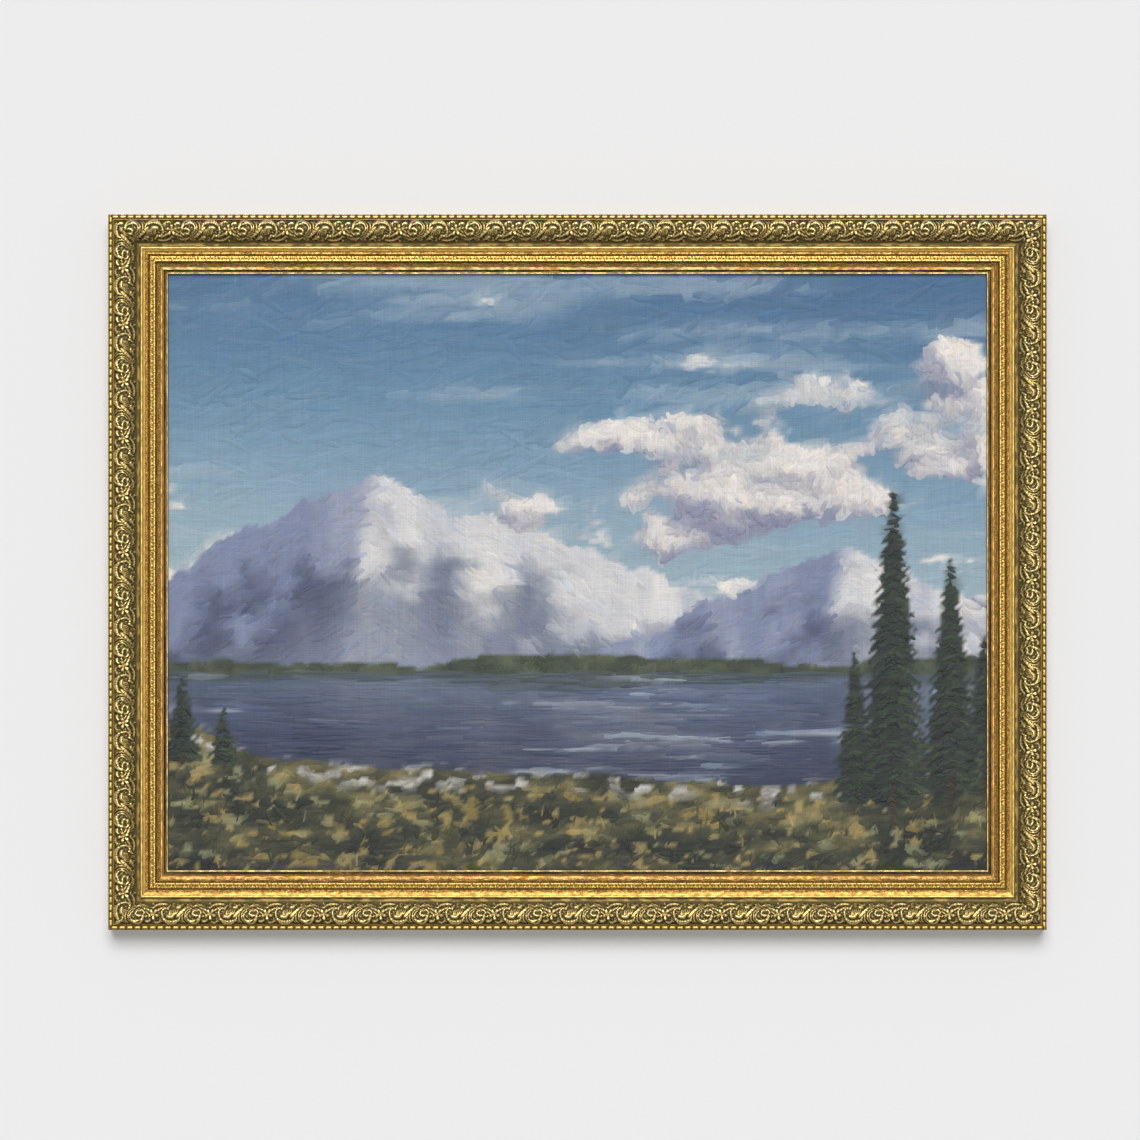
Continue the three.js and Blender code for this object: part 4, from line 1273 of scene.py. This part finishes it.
class PICTURE_OT_painting(bpy.types.Operator):
    """Make the painted linen, wrapped round the stretcher, and the strokes of paint on it"""

    bl_idname = "picture.painting"
    bl_label = "Painting"

    def execute(self, context):
        sizes = context.scene.picture_painting
        view = View(sizes.seed)
        paint = oil_paint()
        cloth = wrapped_linen(view, sizes)
        hand_over(cloth, paint, "painted_linen", "canvas")
        brush = Brush(view, sizes.seed + 1)
        share = 1.0
        for name, strokes in (("paint_sky", SKY_STROKES), ("paint_land", LAND_STROKES)):
            for kinds, count, length, width, angle, lift, wobble, bend, vary, own in strokes:
                brush.lay(kinds, int(count * share), length, width, angle, lift, wobble, bend, vary, own)
            coat = brush.piece(name, CANVAS_LOW.y)
            hand_over(coat, paint, "painted_linen")
        return {"FINISHED"}


class PICTURE_OT_back(bpy.types.Operator):
    """Finish the back: stretcher, keys, clips, hanger and the screws that hold them"""

    bl_idname = "picture.back"
    bl_label = "Back"

    def execute(self, context):
        pine = {axis: wood(f"planed_pine_{'xyz'[axis]}", "#e3c795", "#d4b27a", "#b38c52", axis)
                for axis in (0, 2)}
        beech = wood("beech_keys", "#dcb488", "#cda074", "#ab7c52", 0, 0.9)
        steel = zinc()
        for name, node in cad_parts.items():
            if name.startswith("stretcher"):
                look = pine[0 if name.endswith(("top", "bottom")) else 2]
            elif name.startswith("key"):
                look = beech
            elif name.startswith(("clip", "hanger")):
                look = steel
            else:
                continue
            node.data.materials.clear()
            node.data.materials.append(look.material)
        head = None
        for name in sorted(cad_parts):
            if "screw" in name:
                low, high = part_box(name)
                if head is None:
                    head = screw(high.x - low.x, high.y - low.y)
                piece = head.copy()
                piece.data = head.data.copy()
                piece.name = piece.data.name = name.replace("screw", "round_head_screw")
                context.scene.collection.objects.link(piece)
                piece.data.transform(Matrix.Translation(((low.x + high.x) / 2, high.y, (low.z + high.z) / 2)))
                hand_over(piece, steel, "zinc_steel", name)
        bpy.data.objects.remove(head)
        return {"FINISHED"}


def screw(width, length):
    """A round-head screw with a cross slot and a threaded shank; the top of its head is at y = 0."""
    rise, shank, thread = 0.9 * MM, 1.15 * MM, 0.35 * MM
    body = start(bpy.ops.mesh.primitive_circle_add, "screw", vertices=20, radius=width / 2, fill_type="NGON")
    set_coordinates(body, coordinates(body) @ np.array(Matrix.Rotation(math.pi / 2, 3, "X")) - (0, rise, 0))
    # The head: a low cylinder under a dome, whose rings are (height, width) as shares of the dome's own.
    straight = 0.18
    dome = [(0.0, math.cos(math.radians(5)))] + [
        (math.sin(math.radians(a)), math.cos(math.radians(a))) for a in (35, 60, 80)]
    with editing(body):
        bpy.ops.mesh.extrude_region_move(TRANSFORM_OT_translate={"value": (0, straight * rise, 0)})
        for (low, wide), (high, narrow) in zip(dome, dome[1:]):
            move = (1 - straight) * rise * (high - low)
            bpy.ops.mesh.extrude_region_move(TRANSFORM_OT_translate={"value": (0, move, 0)})
            bpy.ops.transform.resize(value=(narrow / wide, 1, narrow / wide), center_override=(0, 0, 0))
    slot_size = (0.62 * width, 1.1 * rise, 0.14 * width)  # length, depth, width
    for turn in (0, 1):
        slot = start(bpy.ops.mesh.primitive_cube_add, "slot", size=1, location=(0, 0, 0))
        slot.data.transform(Matrix.Rotation(turn * math.pi / 2, 4, "Y") @ Matrix.Diagonal((*slot_size, 1)))
        pick(body)
        apply_modifier(body, "BOOLEAN", object=slot, operation="DIFFERENCE", solver="EXACT")
        bpy.data.objects.remove(slot)
    shaft = start(bpy.ops.mesh.primitive_cylinder_add, "shank", vertices=10, radius=shank, depth=1,
                  end_fill_type="NGON")
    rings = 14
    with editing(shaft):
        for k in range(1, rings):
            bpy.ops.mesh.bisect(plane_co=(0, 0, k / rings - 0.5), plane_no=(0, 0, 1))
            bpy.ops.mesh.select_all(action="SELECT")
    at = coordinates(shaft)
    step = np.round((at[:, 2] + 0.5) * rings).astype(int)
    # Every other ring stands out as the thread, and the last one draws in to the point.
    swell = np.where(step % 2 == 1, 1 + thread / shank, 1.0) * np.where(step == 0, 0.3, 1.0)
    at[:, :2] *= swell[:, None]
    depth = length - rise
    set_coordinates(shaft, np.stack([at[:, 0], (at[:, 2] - 0.5) * depth - rise, -at[:, 1]], 1))
    pick(shaft, body)
    bpy.ops.object.join()
    with editing(body):
        bpy.ops.mesh.normals_make_consistent(inside=False)
    bpy.ops.object.shade_smooth_by_angle(angle=math.radians(35))
    return body


def wrapped_linen(view, sizes):
    """The linen: its painted face, the turned edges and the margins folded over the stretcher's back."""
    wide, tall = LINEN_SIZE
    columns, rows = round(wide / sizes.ground_cell), round(tall / sizes.ground_cell)
    cloth = start(bpy.ops.mesh.primitive_grid_add, "painted_linen_sheet", x_subdivisions=columns,
                  y_subdivisions=rows, size=1)
    at = coordinates(cloth)
    set_coordinates(cloth, np.stack([
        at[:, 0] * wide * MM, np.full(len(at), CANVAS_LOW.y), CENTRE_Z + at[:, 1] * tall * MM], 1))
    with editing(cloth, "DESELECT"):
        bpy.ops.mesh.select_mode(type="EDGE")
        bpy.ops.mesh.select_non_manifold()
        bpy.ops.mesh.extrude_region_move(TRANSFORM_OT_translate={"value": (0, sizes.wrap * MM, 0)})
        bpy.ops.mesh.extrude_region_move(TRANSFORM_OT_translate={"value": (0, 0, 0)})
        bpy.ops.transform.resize(
            value=((wide - 2 * sizes.margin) / wide, 1, (tall - 2 * sizes.margin) / tall),
            center_override=(0, 0, CENTRE_Z))
    apply_modifier(cloth, "SOLIDIFY", thickness=sizes.thickness * MM, offset=-1)
    at = coordinates(cloth)
    front = at[:, 1] < CANVAS_LOW.y + 0.1 * sizes.thickness * MM
    x, z = at[:, 0] / MM, (at[:, 2] - CENTRE_Z) / MM
    set_colour(cloth, view.colour[view.cell(x, z)])
    set_vector(cloth, "bristle", np.stack([x, z, np.zeros(len(x))], 1))
    set_attribute(cloth, "painted", front)
    bpy.ops.object.shade_smooth_by_angle(angle=math.radians(40))
    return cloth


SENSOR_MM = 36


class PICTURE_OT_stage(bpy.types.Operator):
    """Set the wall, the floor, the light and the camera"""

    bl_idname = "picture.stage"
    bl_label = "Stage"

    @staticmethod
    def aimed(lamp, name, way):
        """Names a lamp and turns it to shine along a direction."""
        lamp.name = name
        lamp.rotation_euler = way.to_track_quat("-Z", "Y").to_euler()
        return lamp

    def execute(self, context):
        settings = context.scene.picture_stage
        context.scene.view_settings.view_transform = "Standard"
        context.scene.cycles.caustics_reflective = False
        plain = Finish("painted_plaster", Base_Color=linear(settings.wall), Roughness=0.95)
        # From behind, the wall lets the back of the picture be seen.
        shown = plain.node("MixShader", {0: plain.node("NewGeometry", out="Backfacing"),
                                         1: plain.shader.outputs[0], 2: plain.node("BsdfTransparent")})
        plain.tree.links.new(shown, plain.tree.nodes["Material Output"].inputs["Surface"])
        wall = start(bpy.ops.mesh.primitive_plane_add, "wall", size=9, location=(0, 0.0006, 0),
                     rotation=(math.pi / 2, 0, 0))
        floor = start(bpy.ops.mesh.primitive_plane_add, "floor", size=9, location=(0, -4.5, -1.6))
        for surface in (wall, floor):
            pick(surface)
            bpy.ops.object.transform_apply(location=True, rotation=True, scale=True)
            surface.data.materials.append(plain.material)
            # Seen only by the camera: light reaches the hidden back as if the picture hung free.
            surface.visible_diffuse = surface.visible_glossy = surface.visible_shadow = False
            surface.visible_transmission = False

        world = bpy.data.worlds.new("studio")
        context.scene.world = world
        world.use_nodes = True
        background = world.node_tree.nodes["Background"]
        background.inputs["Color"].default_value = linear("#ffffff")
        background.inputs["Strength"].default_value = settings.ambient

        for name, share, toward, spread in (
            ("key", settings.key, (0, 1, -math.tan(math.radians(24))), 30),
            ("front", settings.front, (0, 1, 0), 8),
            ("behind", settings.behind, (0.1, -1, -0.45), 30),
        ):
            bpy.ops.object.light_add(type="SUN", location=(0, -2, 2))
            way = Vector(toward).normalized()
            lamp = self.aimed(context.object, name, way)
            # A share of 1 alone lights a white wall to white.
            lamp.data.energy = share * math.pi / abs(way.y)
            lamp.data.angle = math.radians(spread)
        for name, place, size, radiance in (
            ("upper_softbox", (0.5, -3.4, 3.2), 3.2, settings.upper_gloss),
            ("front_softbox", (0, -7, -0.3), 9, settings.front_gloss),
        ):
            bpy.ops.object.light_add(type="AREA", location=place)
            lamp = self.aimed(context.object, name, Vector((0, 0, CENTRE_Z)) - Vector(place))
            lamp.data.size = size
            lamp.data.energy = radiance * math.pi * size * size
            # These two only show in the gilding's gloss, as large pale cards would.
            lamp.visible_diffuse = lamp.visible_camera = False

        centre = Vector((-settings.view_left, 0, CENTRE_Z + settings.view_up))
        bpy.ops.object.camera_add(location=centre + Vector((0, -settings.distance, 0)),
                                  rotation=(math.pi / 2, 0, 0))
        camera = context.object
        camera.data.sensor_width = SENSOR_MM
        camera.data.lens = SENSOR_MM * (settings.distance + CANVAS_LOW.y) / settings.view_width
        context.scene.camera = camera
        return {"FINISHED"}


class PICTURE_PT_panel(bpy.types.Panel):
    """Lists the operators in the order in which they run"""

    bl_label = "Framed painting"
    bl_idname = "PICTURE_PT_panel"
    bl_space_type = "VIEW_3D"
    bl_region_type = "UI"
    bl_category = "Picture"

    def draw(self, context):
        for step in STEPS:
            self.layout.operator(step.bl_idname)


STEPS = (PICTURE_OT_stage, PICTURE_OT_moulding, PICTURE_OT_slip, PICTURE_OT_painting, PICTURE_OT_back)
CLASSES = (CarvingSizes, PaintingSizes, StageSettings, *STEPS, PICTURE_PT_panel)


def register():
    for kind in CLASSES:
        bpy.utils.register_class(kind)
    bpy.types.Scene.picture_carving = PointerProperty(type=CarvingSizes)
    bpy.types.Scene.picture_painting = PointerProperty(type=PaintingSizes)
    bpy.types.Scene.picture_stage = PointerProperty(type=StageSettings)


def unregister():
    del bpy.types.Scene.picture_stage
    del bpy.types.Scene.picture_painting
    del bpy.types.Scene.picture_carving
    for kind in reversed(CLASSES):
        bpy.utils.unregister_class(kind)


def main():
    register()
    for step in STEPS:
        group, name = step.bl_idname.split(".")
        getattr(getattr(bpy.ops, group), name)()


if __name__ == "__main__":
    main()
